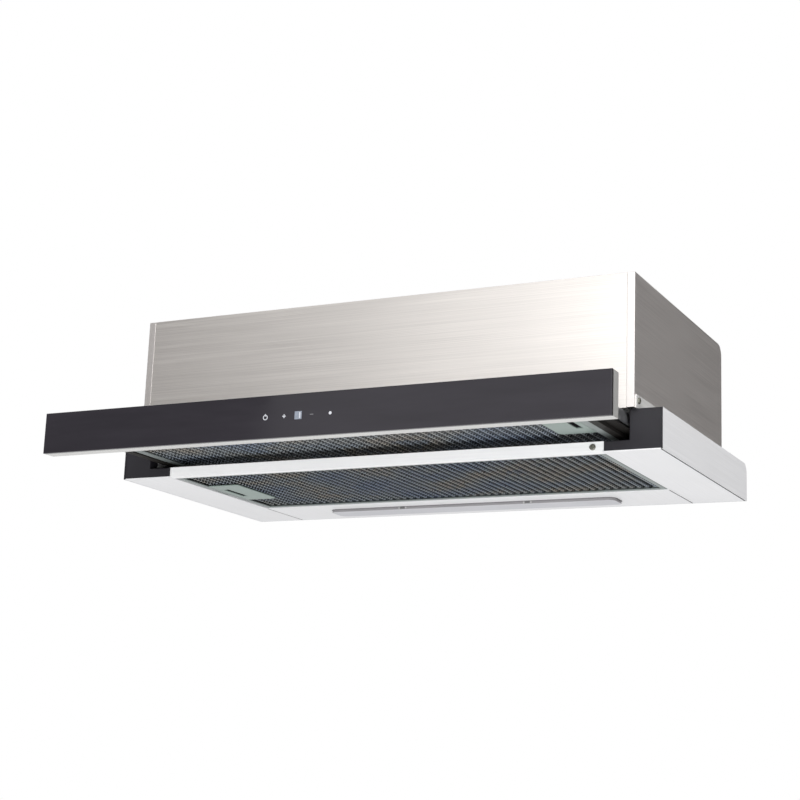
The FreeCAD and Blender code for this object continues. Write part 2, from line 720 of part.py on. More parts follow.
def make_mesh(label, side, edge, lip, latch_lead, front, low):
    """Expanded-metal sheet: one holed face, notched over the latch's finger slot and tongue."""
    half = number(f"{edge} - frame_wall - clearance / 2")
    y0 = number(f"{front} + frame_wall + clearance / 2")
    y1 = number(f"{front} + {FILTER_DEPTH} - frame_wall - clearance / 2")
    base = number(f"{low} + frame_wall")
    notch_in = number(f"{edge} - {lip} - latch_slot_place - latch_slot_width - latch_travel - hairline")
    middle = (y0 + y1) / 2 - number(latch_lead)
    notch_half = number("latch_slot_length / 2 + hairline")
    corners = [(half, y0), (half, middle - notch_half), (notch_in, middle - notch_half),
               (notch_in, middle + notch_half), (half, middle + notch_half), (half, y1),
               (-half, y1), (-half, y0)]

    def wire(points):
        spots = [FreeCAD.Vector(side * x, y, base) for x, y in points]
        return Part.makePolygon(spots + spots[:1])

    margin = number(lip)
    step_x = 2 * (half - margin) / MESH_COLUMNS
    step_y = (y1 - y0 - 2 * margin) / MESH_ROWS
    strand = number("mesh_strand")
    reach_x, reach_y = (step_x - strand) / 2, (step_y - strand) / 2
    wires = [wire(corners)]
    for column in range(MESH_COLUMNS):
        for line in range(MESH_ROWS):
            x = -half + margin + (column + CELL_SHARE) * step_x
            y = y0 + margin + (line + CELL_SHARE) * step_y
            if x + reach_x > notch_in - strand and abs(y - middle) < notch_half + strand + reach_y:
                continue
            wires.append(wire([(x - reach_x, y), (x, y - reach_y), (x + reach_x, y), (x, y + reach_y)]))
    face = Part.makeFace(wires, "Part::FaceMakerBullseye")
    mesh = doc.addObject("Part::Feature", f"{label}_sheet")
    mesh.Shape = face.extrude(FreeCAD.Vector(0, 0, number("mesh_thickness")))
    node(label, mesh)


def make_filter(prefix, side, half, lip, latch_lead, front, low):
    """A framed filter whose latch is at the right (+1) or left (-1) end, with two tabs at the other."""
    middle = f"({front} + {FILTER_DEPTH} / 2)"
    latch_middle = f"({middle} - {latch_lead})"
    floor = f"({low} + frame_wall)"
    top = f"({low} + filter_thickness)"
    hook = (floor, f"{floor} + tongue_thickness")
    rear = f"({front} + {FILTER_DEPTH})"
    solid = block(f"{prefix}_solid", (f"-{half}", half), (front, rear), (low, top))
    cavity = block(f"{prefix}_cavity", (f"-{half} + frame_wall", f"{half} - frame_wall"),
                   (f"{front} + frame_wall", f"{rear} - frame_wall"), (floor, f"{top} - frame_wall"))
    opening = block(f"{prefix}_opening", (f"-{half} + {lip}", f"{half} - {lip}"),
                    (f"{front} + {lip}", f"{rear} - {lip}"),
                    (f"{low} - overrun", f"{top} + overrun"))
    exit_slot = block(f"{prefix}_exit_slot",
                      sided(side, f"{half} - frame_wall - overrun", f"{half} + overrun"),
                      (f"{latch_middle} - tongue_width / 2 - clearance",
                       f"{latch_middle} + tongue_width / 2 + clearance"),
                      (floor, f"{floor} + tongue_thickness + clearance"))
    ring = cut(f"{prefix}_ring", solid, cavity, opening, exit_slot)
    tabs = []
    for i, way in enumerate((-1, 1)):
        place = f"({middle} + {way} * tab_place)"
        across = sided(-side, f"{half} - frame_wall", f"{half} + tongue_reach")
        along = (f"{place} - tab_width / 2", f"{place} + tab_width / 2")
        tabs.append(block(f"{prefix}_tab_{i}", across, along, hook))
    node(f"{prefix}_frame", fuse(f"{prefix}_tabbed", ring, *tabs))
    make_mesh(f"{prefix}_mesh", side, half, lip, latch_lead, front, low)
    make_latch(prefix, side, half, lip, latch_middle, low)


def make_latch(prefix, side, half, lip, middle, low):
    """The sliding plate with its finger slot, and the tongue that runs over the frame's lip into a keeper."""
    body = new_body(f"{prefix}_latch_plate")
    edge = f"({half} - {lip} - clearance)"
    inner = f"({edge} - latch_width)"
    slot_high = f"({edge} - latch_slot_place)"
    outline = sketch_on(body, f"{prefix}_latch_outline", "XY", low)
    add_rectangle(outline, sided(side, inner, edge),
                  (f"{middle} - latch_length / 2", f"{middle} + latch_length / 2"))
    add_rectangle(outline, sided(side, f"{slot_high} - latch_slot_width", slot_high),
                  (f"{middle} - latch_slot_length / 2", f"{middle} + latch_slot_length / 2"))
    plate = pad(body, outline, "frame_wall")
    round_edges(body, plate, "latch_corner",
                lambda p: near(p.x, f"{side} * {inner}") and near(p.y, f"{middle} - latch_length / 2"),
                lambda p: near(p.x, f"{side} * {inner}") and near(p.y, f"{middle} + latch_length / 2"))
    tongue = sketch_on(body, f"{prefix}_latch_tongue", "XY", f"{low} + frame_wall")
    add_rectangle(tongue, sided(side, f"{edge} - tongue_root", f"{half} + tongue_reach"),
                  (f"{middle} - tongue_width / 2", f"{middle} + tongue_width / 2"))
    pad(body, tongue, "tongue_thickness")
    node(f"{prefix}_latch", body)


# Drawer


def make_drawer_front():
    """Glass on an aluminium pan that holds the touch board and its display."""
    body = new_body("glass_sheet")
    outline = sketch_on(body, "glass_outline", "XZ", f"-({CARRIER_FRONT})")
    add_rectangle(outline, (f"-{HALF}", HALF), ("glass_low", GLASS_TOP))
    sheet_pad = pad(body, outline, "glass_thickness")
    round_edges(body, sheet_pad, "glass_edge", lambda p: near(p.y, GLASS_FRONT))
    node("glass_panel", body)

    solid = block("carrier_solid", (f"-{HALF}", HALF), (CARRIER_FRONT, CARRIER_REAR),
                  ("glass_low", GLASS_TOP))
    hollow = block("carrier_hollow", (f"-{HALF} + carrier_wall", f"{HALF} - carrier_wall"),
                   (f"{CARRIER_FRONT} - overrun", f"{CARRIER_REAR} - carrier_wall"),
                   ("glass_low + carrier_wall", f"{GLASS_TOP} - carrier_wall"))
    seats = [(f"{side} * ({DRAWER_SIDE} + {DRAWER_SIDE_OUT}) / 2", f"{CARRIER_REAR} - carrier_wall",
              f"{DRAWER_LOW} + drawer_height / 2") for side in (1, -1)]
    holes = [screw_hole(f"carrier_hole_{i}", "y", seat, "carrier_wall + overrun")
             for i, seat in enumerate(seats)]
    node("front_carrier", cut("carrier", solid, hollow, *holes))
    node("carrier_screws", group("carrier_fixings", [screw(f"carrier_screw_{i}", "y", -1, seat)
                                                     for i, seat in enumerate(seats)]))

    level = f"({GLASS_TOP} + glass_low) / 2"
    centre = "(-touch_board_place)"
    node("touch_board", block(
        "touch_circuit", (f"{centre} - touch_board_width / 2", f"{centre} + touch_board_width / 2"),
        (CARRIER_FRONT, f"{CARRIER_FRONT} + board_thickness"),
        (f"{level} - touch_board_height / 2", f"{level} + touch_board_height / 2")))
    node("display_module", block(
        "display_block", ("-display_place - display_width / 2", "-display_place + display_width / 2"),
        (f"{CARRIER_FRONT} + board_thickness", f"{CARRIER_REAR} - carrier_wall"),
        (f"{level} - display_height / 2", f"{level} + display_height / 2")))


def make_drawer_frame():
    """Black box-section sides with a skirt under each slide, and the rear bar."""
    along = (CARRIER_REAR, DRAWER_REAR)
    high = f"({DRAWER_LOW} + drawer_height)"
    tube = block("side_tube", (DRAWER_SIDE, DRAWER_SIDE_OUT), along, (DRAWER_LOW, high))
    skirt = block("side_skirt",
                  (f"{DRAWER_SIDE_OUT} - drawer_side_wall", f"{DRAWER_SIDE_OUT} + drawer_skirt"),
                  along, (f"{DRAWER_LOW} + skirt_rise", f"{DRAWER_LOW} + skirt_rise + drawer_side_wall"))
    hollow = block("side_hollow",
                   (f"{DRAWER_SIDE} + drawer_side_wall", f"{DRAWER_SIDE_OUT} - drawer_side_wall"),
                   (f"{CARRIER_REAR} - overrun", f"{DRAWER_REAR} + overrun"),
                   (f"{DRAWER_LOW} + drawer_side_wall", f"{high} - drawer_side_wall"))
    filter_middle = f"({UPPER_FILTER_FRONT} + {FILTER_DEPTH} / 2)"
    latch_middle = f"({filter_middle} - {UPPER_LATCH_LEAD})"
    across = (f"{DRAWER_SIDE} - overrun", f"{DRAWER_SIDE} + drawer_side_wall + overrun")
    level = filter_hook_level(UPPER_FILTER_LOW)
    right_base = cut("side_profile", fuse("side_section", tube, skirt), hollow)
    left_base = mirrored("side_profile_left", right_base)
    node("drawer_side_right", cut("drawer_right", right_base, block(
        "drawer_latch_slot", across, hook_span(latch_middle, "tongue_width"), level)))
    node("drawer_side_left", cut("drawer_left", left_base, *[
        block(f"drawer_tab_slot_{i}", sided(-1, *across),
              hook_span(f"{filter_middle} + {way} * tab_place", "tab_width"), level)
        for i, way in enumerate((-1, 1))]))
    bar_front = f"({DRAWER_REAR} - rear_bar_depth)"
    bar = block("bar_solid", (f"-{DRAWER_SIDE}", DRAWER_SIDE), (bar_front, DRAWER_REAR), (DRAWER_LOW, high))
    bar_hollow = block("bar_hollow", (f"-{DRAWER_SIDE} - overrun", f"{DRAWER_SIDE} + overrun"),
                       (f"{bar_front} + drawer_side_wall", f"{DRAWER_REAR} - drawer_side_wall"),
                       (f"{DRAWER_LOW} + drawer_side_wall", f"{high} - drawer_side_wall"))
    node("drawer_rear_bar", cut("bar", bar, bar_hollow))


# Telescopic slides


def channel(name, web, lip_end, y, low, high):
    """A channel section: web between two X values, lips of the slide's gauge reaching to lip_end."""
    solid = block(f"{name}_solid", lip_end, y, (low, high))
    hollow = block(f"{name}_hollow", web, (f"{y[0]} - overrun", f"{y[1]} + overrun"),
                   (f"{low} + slide_thickness", f"{high} - slide_thickness"))
    return cut(name, solid, hollow)


def make_slides():
    """Three-part slides: fixed channel on the bracket, middle channel, and the drawer's channel."""
    high = f"({SLIDE_LOW} + slide_height)"
    start = CAP_REAR
    step = "(slide_thickness + hairline)"
    half_travel = f"({TRAVEL} / 2)"
    outer_web = f"({NOTCH} - slide_thickness)"
    outer = channel("slide_outer", (f"{outer_web} - slide_lip - overrun", outer_web),
                    (f"{outer_web} - slide_lip", NOTCH), (start, f"{start} + slide_length"), SLIDE_LOW, high)
    middle_web = f"({outer_web} - {step})"
    middle = channel("slide_middle", (f"{middle_web} - slide_lip - overrun", middle_web),
                     (f"{middle_web} - slide_lip", f"{middle_web} + slide_thickness"),
                     (f"{start} - {half_travel}", f"{start} - {half_travel} + slide_length"),
                     f"({SLIDE_LOW} + {step})", f"({high} - {step})")
    inner = channel("slide_inner", (f"{DRAWER_SIDE_OUT} + slide_thickness", f"{middle_web} + overrun"),
                    (DRAWER_SIDE_OUT, f"{middle_web} - hairline"),
                    (f"{start} - {TRAVEL}", f"{start} - {TRAVEL} + slide_length"),
                    f"({SLIDE_LOW} + 2 * {step})", f"({high} - 2 * {step})")
    for label, piece in (("slide_outer", outer), ("slide_middle", middle), ("slide_inner", inner)):
        node(f"{label}_right", piece)
        node(f"{label}_left", mirrored(f"{label}_twin", piece))


# Fan and motor


def volute(radius, wall, top):
    """The scroll's outline in Y and Z: quarter arcs of growing radius, then straight up to the outlet."""
    yc, zc = number(f"-{FAN_PLACE}"), number(FAN_LEVEL)
    growth = number("fan_growth")
    r1, r2, r3 = (radius + growth * k + wall for k in (1, 2, 3))
    tongue = number("fan_tongue")

    def at(y, z):
        return FreeCAD.Vector(0, y, z)

    def quarter(centre, r, start):
        def spot(turns):
            angle = math.radians((start + turns) * QUARTER_TURN)
            return at(centre[0] + r * math.cos(angle), centre[1] + r * math.sin(angle))
        first, middle, last = spot(0), spot(1 / 2), spot(1)
        return Part.Arc(first, middle, last).toShape(), first, last

    c1 = (yc, zc)
    c2 = (yc - r1 + r2, zc)
    c3 = (c2[0], zc - r2 + r3)
    arc1, top_of_wheel, _ = quarter(c1, r1, 1)
    arc2, _, _ = quarter(c2, r2, 2)
    arc3, _, rear = quarter(c3, r3, 3)
    outlet_front = at(top_of_wheel.y + tongue - wall, top)
    outlet_rear = at(rear.y, top)
    tongue_foot = at(outlet_front.y, top_of_wheel.z)
    lines = [Part.makeLine(a, b) for a, b in ((rear, outlet_rear), (outlet_rear, outlet_front),
                                              (outlet_front, tongue_foot), (tongue_foot, top_of_wheel))]
    return Part.Face(Part.Wire([arc1, arc2, arc3, *lines]))


def make_fan_housing():
    """Scroll with an inlet on each side, open at the top into the duct outlet."""
    half, wall = number(FAN_HALF), number("fan_wall")
    ceiling = number(f"{BOX_TOP} - sheet")
    inside = number("overrun")
    radius = number(FAN_RADIUS)
    outer = volute(radius, wall, ceiling).extrude(FreeCAD.Vector(2 * half, 0, 0))
    inner = volute(radius, 0, ceiling + inside).extrude(FreeCAD.Vector(2 * (half - wall), 0, 0))
    outer.translate(FreeCAD.Vector(-half, 0, 0))
    inner.translate(FreeCAD.Vector(wall - half, 0, 0))
    inlets = Part.makeCylinder(number(f"{FAN_RADIUS} - fan_inlet_lip"), 2 * (half + inside),
                               FreeCAD.Vector(-half - inside, number(f"-{FAN_PLACE}"), number(FAN_LEVEL)),
                               FreeCAD.Vector(1, 0, 0))
    housing = doc.addObject("Part::Feature", "scroll")
    housing.Shape = outer.cut(inner).cut(inlets).removeSplitter()
    node("fan_housing", housing)


def make_impeller():
    """Squirrel-cage wheel: a middle disc and hub, two rim rings, and blades in a polar pattern."""
    body = new_body("wheel")
    disc = sketch_on(body, "wheel_disc", "XY", "-impeller_disc / 2")
    add_circle(disc, ("0", "0"), IMPELLER_RADIUS)
    add_circle(disc, ("0", "0"), "shaft_radius")
    pad(body, disc, "impeller_disc")
    hub = sketch_on(body, "wheel_hub", "XY", "-hub_length / 2")
    add_circle(hub, ("0", "0"), "hub_radius")
    add_circle(hub, ("0", "0"), "shaft_radius")
    pad(body, hub, "hub_length")
    blade = sketch_on(body, "wheel_blade", "XY", f"-{IMPELLER_HALF} + blade_inset")
    add_polygon(blade, [
        (IMPELLER_INNER, "-blade_thickness"), (f"{IMPELLER_RADIUS} - blade_inset", "blade_thickness"),
        (f"{IMPELLER_RADIUS} - blade_inset", "2 * blade_thickness"), (IMPELLER_INNER, "0")])
    blade_pad = pad(body, blade, f"2 * ({IMPELLER_HALF} - blade_inset)")
    doc.recompute()
    pattern = body.newObject("PartDesign::PolarPattern", "wheel_blades")
    pattern.Originals = [blade_pad]
    pattern.Axis = (blade, ["N_Axis"])
    pattern.Angle = FULL_TURN
    pattern.Occurrences = BLADE_COUNT
    body.Tip = pattern
    for i, start in enumerate((f"-{IMPELLER_HALF}", f"{IMPELLER_HALF} - impeller_ring")):
        ring = sketch_on(body, f"wheel_ring_{i}", "XY", start)
        add_circle(ring, ("0", "0"), IMPELLER_RADIUS)
        add_circle(ring, ("0", "0"), f"{IMPELLER_INNER} - impeller_lip")
        body.Tip = pad(body, ring, "impeller_ring")
    body.Placement = FreeCAD.Placement(FreeCAD.Vector(), TURNS["x"])
    bind(body, "Placement.Base.y", f"-{FAN_PLACE}")
    bind(body, "Placement.Base.z", FAN_LEVEL)
    node("impeller", body)


def make_motor():
    """Capped motor on a strap bracket beside the scroll, and the shaft that carries the wheel."""
    axis = (f"-{FAN_PLACE}", FAN_LEVEL)
    plate_x = f"({FAN_HALF} + bracket_stand)"
    along = (f"-{FAN_PLACE} - bracket_width / 2", f"-{FAN_PLACE} + bracket_width / 2")
    low, high = f"({FAN_LEVEL} - {FAN_RADIUS})", f"({FAN_LEVEL} + {FAN_RADIUS})"
    plate = block("bracket_plate", (plate_x, f"{plate_x} + bracket_thickness"), along, (low, high))
    legs = [block(f"bracket_leg_{i}", (FAN_HALF, f"{plate_x} + bracket_thickness"), along, z)
            for i, z in enumerate(((low, f"{low} + bracket_thickness"),
                                   (f"{high} - bracket_thickness", high)))]
    eye = rod("bracket_eye", "x", (f"{plate_x} - overrun", *axis), "motor_boss_radius",
              "bracket_thickness + 2 * overrun")
    node("motor_bracket", cut("bracket", fuse("bracket_strap", plate, *legs), eye))

    body = new_body("motor_can")
    profile = sketch_on(body, "motor_profile", "XZ", "0")
    bore = "(shaft_radius + shaft_fit)"
    add_polygon(profile, [
        (bore, "-motor_boss_length"), ("motor_boss_radius", "-motor_boss_length"), ("motor_boss_radius", "0"),
        ("motor_radius - motor_edge", "0"), ("motor_radius", "motor_edge"),
        ("motor_radius", "motor_length - motor_edge"), ("motor_radius - motor_edge", "motor_length"),
        ("0", "motor_length"), ("0", "motor_bore_depth"), (bore, "motor_bore_depth")])
    revolve(body, profile)
    body.Placement = FreeCAD.Placement(FreeCAD.Vector(), TURNS["x"])
    bind(body, "Placement.Base.x", f"{plate_x} + bracket_thickness")
    bind(body, "Placement.Base.y", axis[0])
    bind(body, "Placement.Base.z", axis[1])
    node("motor", body)

    shaft_end = f"({plate_x} + bracket_thickness + motor_bore_depth - clearance)"
    node("fan_shaft", rod("shaft", "x", ("-hub_length / 2 - shaft_tail", *axis), "shaft_radius",
                          f"{shaft_end} + hub_length / 2 + shaft_tail"))


def make_electrics():
    """Control box under the top cover, with the motor capacitor on its end."""
    ceiling = f"({BOX_TOP} - sheet)"
    body = new_body("control_case")
    outline = sketch_on(body, "control_outline", "XY", f"{ceiling} - control_height")
    left, front = f"(-{BOX_HALF} + control_inset)", f"({BOX_FRONT} + control_setback)"
    across = (left, f"{left} + control_length")
    along = (front, f"{front} + control_width")
    add_rectangle(outline, across, along)
    case = pad(body, outline, "control_height")
    round_edges(body, case, "control_edge", lambda p: near(p.z, f"{ceiling} - control_height"))
    node("control_box", body)

    can = new_body("capacitor_can")
    profile = sketch_on(can, "capacitor_profile", "XZ", "0")
    add_polygon(profile, [
        ("0", "0"), ("capacitor_radius - capacitor_rim", "0"), ("capacitor_radius", "capacitor_rim"),
        ("capacitor_radius", "capacitor_length"), ("0", "capacitor_length")])
    revolve(can, profile)
    can.Placement = FreeCAD.Placement(FreeCAD.Vector(), TURNS["x"])
    bind(can, "Placement.Base.x", f"{left} - capacitor_length")
    bind(can, "Placement.Base.y", f"{front} + control_width / 2")
    bind(can, "Placement.Base.z", f"{ceiling} - control_height / 2")
    node("capacitor", can)


# Duct outlet


def make_outlet():
    """Collar with a foot flange and a stop ring, a hinge pin across it and two damper flaps."""
    body = new_body("collar_ring")
    inner = "(collar_radius - collar_wall)"
    stop_top = "(damper_level - knuckle_radius / 2 - damper_rest_gap)"
    profile = sketch_on(body, "collar_profile", "XZ", "0")
    add_polygon(profile, [
        (inner, "0"), ("collar_radius + collar_flange", "0"),
        ("collar_radius + collar_flange", "collar_flange_thickness"),
        ("collar_radius", "collar_flange_thickness"),
        ("collar_radius", "collar_height"), (inner, "collar_height"), (inner, stop_top),
        (f"{inner} - damper_stop", stop_top),
        (f"{inner} - damper_stop", f"{stop_top} - damper_stop_thickness"),
        (inner, f"{stop_top} - damper_stop_thickness")])
    revolve(body, profile)
    bind(body, "Placement.Base.y", f"-{COLLAR_PLACE}")
    bind(body, "Placement.Base.z", BOX_TOP)
    pin_half = f"({inner} + collar_wall / 2)"
    seat = rod("pin_seat", "x", (f"-{pin_half}", f"-{COLLAR_PLACE}", DAMPER_AXIS), "damper_pin_radius",
               f"2 * {pin_half}")
    node("outlet_collar", cut("collar", body, seat))
    node("damper_pin", rod("pin", "x", (f"-{pin_half}", f"-{COLLAR_PLACE}", DAMPER_AXIS), "damper_pin_radius",
                           f"2 * {pin_half}"))
    for label, way, first in (("damper_flap_rear", 1, "knuckle_gap / 2"),
                              ("damper_flap_front", -1, "knuckle_gap / 2 + knuckle_length + knuckle_gap")):
        make_flap(label, way, first, inner)


def make_flap(label, way, first, inner):
    """Half a disc with two hinge knuckles round the pin, on the rear (+1) or front (-1) side."""
    low = f"({DAMPER_AXIS} - knuckle_radius / 2)"
    plate = (low, f"{low} + damper_thickness")
    disc = rod(f"{label}_disc", "z", ("0", f"-{COLLAR_PLACE}", low),
               f"{inner} - damper_gap", "damper_thickness")
    gap = "(knuckle_radius + damper_gap)"
    reach = (f"-{COLLAR_PLACE} + {gap}", f"-{COLLAR_PLACE} + collar_radius + overrun")
    if way < 0:
        reach = (f"-{COLLAR_PLACE} - collar_radius - overrun", f"-{COLLAR_PLACE} - {gap}")
    keep = block(f"{label}_half", ("-collar_radius - overrun", "collar_radius + overrun"), reach, plate)
    half = doc.addObject("Part::Common", f"{label}_plate")
    half.Base = disc
    half.Tool = keep
    arms, bores = [], []
    for i, side in enumerate((1, -1)):
        low_x, high_x = sided(side, first, f"{first} + knuckle_length")
        start = (low_x, f"-{COLLAR_PLACE}", DAMPER_AXIS)
        arms.append(rod(f"{label}_knuckle_{i}", "x", start, "knuckle_radius", "knuckle_length"))
        span = (f"-{COLLAR_PLACE}", f"-{COLLAR_PLACE} + {gap} + overrun")
        if way < 0:
            span = (f"-{COLLAR_PLACE} - {gap} - overrun", f"-{COLLAR_PLACE}")
        arms.append(block(f"{label}_arm_{i}", (low_x, high_x), span, plate))
        bores.append(rod(f"{label}_bore_{i}", "x",
                         (f"{low_x} - overrun / 2", f"-{COLLAR_PLACE}", DAMPER_AXIS),
                         "damper_pin_radius + knuckle_bore_fit", "knuckle_length + overrun"))
    node(label, cut(f"{label}_bored", fuse(f"{label}_solid", half, *arms), *bores))


def make_gland():
    """Cable gland on the top cover: hexagon foot, domed nut and the bore for the mains lead."""
    body = new_body("gland_body")
    foot = sketch_on(body, "gland_foot", "XY", "0")
    turns = [FULL_TURN * i / HEX_SIDES for i in range(HEX_SIDES)]
    corners = [(f"gland_hex_radius * cos({turn})", f"gland_hex_radius * sin({turn})") for turn in turns]
    add_polygon(foot, corners)
    pad(body, foot, "gland_hex_height")
    neck = sketch_on(body, "gland_neck", "XY", "-sheet")
    add_circle(neck, ("0", "0"), "gland_radius - clearance")
    pad(body, neck, "sheet + gland_hex_height + gland_dome_height")
    bore = sketch_on(body, "gland_bore", "XY", "gland_hex_height + gland_dome_height + overrun")
    add_circle(bore, ("0", "0"), "gland_bore_radius")
    pocket(body, bore, "sheet + gland_hex_height + gland_dome_height + 2 * overrun")
    bind(body, "Placement.Base.x", GLAND_X)
    bind(body, "Placement.Base.y", GLAND_Y)
    bind(body, "Placement.Base.z", BOX_TOP)
    node("cable_gland", body)


def make_screws():
    """Screws through the brackets' upright flanges and through the top cover."""
    right = [screw(f"flange_screw_{i}", "x", 1, seat) for i, seat in enumerate(side_screw_seats())]
    left = [mirrored(f"flange_screw_left_{i}", one) for i, one in enumerate(right)]
    node("flange_screws", group("flange_fixings", right + left))
    right = [screw(f"cover_screw_{i}", "z", 1, seat) for i, seat in enumerate(cover_screw_seats())]
    left = [mirrored(f"cover_screw_left_{i}", one) for i, one in enumerate(right)]
    node("cover_screws", group("cover_fixings", right + left))


make_box_sides()
make_box_front()
make_cover()
make_side_brackets()
make_canopy_back()
make_side_trims()
make_corner_caps()
make_bottom_strips()
make_front_rail()
make_lamp()
make_filter("lower_filter", -1, LOWER_FILTER_HALF, "lower_lip", "0", LOWER_FILTER_FRONT, "filter_low")
make_filter("upper_filter", 1, UPPER_FILTER_HALF, "upper_lip", UPPER_LATCH_LEAD, UPPER_FILTER_FRONT,
            UPPER_FILTER_LOW)
make_drawer_front()
make_drawer_frame()
make_slides()
make_fan_housing()
make_impeller()
make_motor()
make_electrics()
make_outlet()
make_gland()
make_screws()
doc.recompute()

# Every object has to have built, and every sub-part has to be a valid shape.
failed = [o.Label for o in doc.Objects if "Invalid" in o.State or "Error" in o.State]
failed += [label for label, piece in nodes.items() if piece.Shape.isNull() or not piece.Shape.isValid()]
if failed:
    raise SystemExit(f"these did not build: {sorted(set(failed))}")

os.makedirs("parts", exist_ok=True)
for label, piece in nodes.items():
    piece.Shape.exportStep(f"parts/{label}.step")
    box = piece.Shape.BoundBox
    print(f"{label}: {len(piece.Shape.Solids)} solid(s), {piece.Shape.Volume:.0f} mm3, "
          f"X {box.XMin:.1f}..{box.XMax:.1f} Y {box.YMin:.1f}..{box.YMax:.1f} "
          f"Z {box.ZMin:.1f}..{box.ZMax:.1f}")
print(f"{len(nodes)} sub-parts, drawer travel {number(TRAVEL):.1f} mm")
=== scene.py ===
# %% [markdown]
# A built-in range hood, seen from below with its drawer pulled out.
# The solids come from CAD and are already in their places, in metres, so this lesson never moves them.
# It gives every solid a finish, and models the fine things that CAD leaves plain: the expanded mesh of the
# grease filters, the touch signs, the screws and the pressings of the sheet metal.

# %% Load the CAD frame
import math
import bpy
from mathutils import Matrix, Vector


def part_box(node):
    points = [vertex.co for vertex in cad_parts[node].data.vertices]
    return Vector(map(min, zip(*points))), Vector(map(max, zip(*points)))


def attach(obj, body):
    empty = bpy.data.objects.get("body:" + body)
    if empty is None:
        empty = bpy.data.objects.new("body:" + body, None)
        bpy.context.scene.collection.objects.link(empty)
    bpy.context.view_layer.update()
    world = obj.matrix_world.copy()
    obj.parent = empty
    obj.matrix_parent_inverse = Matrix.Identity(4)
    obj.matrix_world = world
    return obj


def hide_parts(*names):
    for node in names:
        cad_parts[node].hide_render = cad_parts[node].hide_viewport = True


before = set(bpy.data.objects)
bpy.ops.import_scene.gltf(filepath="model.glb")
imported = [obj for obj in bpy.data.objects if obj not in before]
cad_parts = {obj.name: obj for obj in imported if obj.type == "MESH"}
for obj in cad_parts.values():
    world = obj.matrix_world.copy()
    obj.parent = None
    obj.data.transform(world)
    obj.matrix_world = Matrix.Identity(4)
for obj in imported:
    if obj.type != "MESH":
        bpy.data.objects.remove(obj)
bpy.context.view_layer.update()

MM = 0.001

# %% [markdown]
# The photograph looks up at the hood from its right. The camera's place, turn and lens below were fitted to
# the corners of the canopy, the box and the glass. Blender's camera looks along its own -Z, so its matrix is
# built from three directions: right, up and backwards.

# %% Camera
YAW, PITCH, ROLL = (math.radians(a) for a in (27.025, 13.133, 2.239))
EYE = Vector((0.7800, -1.7593, -0.3213))
LENS_MM, SENSOR_MM, NEAR_CLIP = 76.86, 36.0, 0.05
forward = Vector((-math.sin(YAW) * math.cos(PITCH), math.cos(YAW) * math.cos(PITCH), math.sin(PITCH)))
level = Vector((math.cos(YAW), math.sin(YAW), 0.0))
upright = level.cross(forward)
right = math.cos(ROLL) * level + math.sin(ROLL) * upright
up = math.cos(ROLL) * upright - math.sin(ROLL) * level

lens = bpy.data.cameras.new("photo_camera")
lens.lens, lens.sensor_width, lens.clip_start = LENS_MM, SENSOR_MM, NEAR_CLIP
camera = bpy.data.objects.new("photo_camera", lens)
camera.matrix_world = Matrix((
    (right.x, up.x, -forward.x, EYE.x),
    (right.y, up.y, -forward.y, EYE.y),
    (right.z, up.z, -forward.z, EYE.z),
    (0, 0, 0, 1)))
bpy.context.scene.collection.objects.link(camera)
bpy.context.scene.camera = camera
print("camera at", [round(v, 3) for v in EYE], "looking along", [round(v, 3) for v in forward])

# %% [markdown]
# A finish is a small node tree. Each one starts from Object coordinates, because every object sits at the
# origin and its coordinates are then the hood's own, in metres. The first helpers make patterns: they add a
# node and set its sockets, stretch the coordinates, and make a noise.

# %% Helpers for patterns
def add_node(tree, kind, links=None, **values):
    """Adds a node, sets its sockets or properties by name, and links its inputs to the given outputs."""
    made = tree.nodes.new(kind)
    for name, value in values.items():
        socket = name.replace("_", " ")
        if socket in made.inputs:
            made.inputs[socket].default_value = value
        else:
            setattr(made, name, value)
    for socket, source in (links or {}).items():
        tree.links.new(source, made.inputs[socket])
    return made


def stretched(tree, scale, turn=(0, 0, 0)):
    """Object coordinates, scaled per axis: a small number draws a pattern out along that axis."""
    place = add_node(tree, "ShaderNodeTexCoord")
    per_axis = scale if isinstance(scale, tuple) else (scale,) * 3
    mapping = add_node(tree, "ShaderNodeMapping", {"Vector": place.outputs["Object"]},
                       Scale=per_axis, Rotation=turn)
    return mapping.outputs["Vector"]


def noise(tree, scale, detail=3.0, rough=0.55, turn=(0, 0, 0)):
    made = add_node(tree, "ShaderNodeTexNoise", {"Vector": stretched(tree, scale, turn)},
                    Scale=1.0, Detail=detail, Roughness=rough)
    return made.outputs["Fac"]


print("pattern helpers ready")

# %% [markdown]
# The next helpers turn a pattern into something that shows: a colour in two tones, a roughness between two
# limits, or a relief. Most of a noise lies between 0.3 and 0.7, so that range is spread over the whole change.

# %% Helpers for finishes
PATTERN_LOW, PATTERN_HIGH = 0.3, 0.7
EDGE_ROUND, EDGE_SAMPLES = 0.5 * MM, 4
WHITE = (1.0, 1.0, 1.0)


def ramp(tree, source, *stops):
    """A colour ramp with (position, colour) stops."""
    made = add_node(tree, "ShaderNodeValToRGB", {"Fac": source})
    points = made.color_ramp.elements
    while len(points) < len(stops):
        points.new(0.5)
    for point, (position, colour) in zip(points, stops):
        point.position = position
        point.color = (*colour, 1.0)
    return made.outputs["Color"]


def two_tone(tree, source, colour, change, low=PATTERN_LOW, high=PATTERN_HIGH):
    """A colour that a pattern makes darker and lighter by a share of it."""
    dark, light = (tuple(min(1.0, c * part) for c in colour) for part in (1 - change, 1 + change))
    return ramp(tree, source, (low, dark), (high, light))


def multiplied(tree, first, second):
    made = add_node(tree, "ShaderNodeMix", data_type="RGBA", blend_type="MULTIPLY")
    made.inputs["Factor"].default_value = 1.0
    tree.links.new(first, made.inputs["A"])
    tree.links.new(second, made.inputs["B"])
    return made.outputs["Result"]


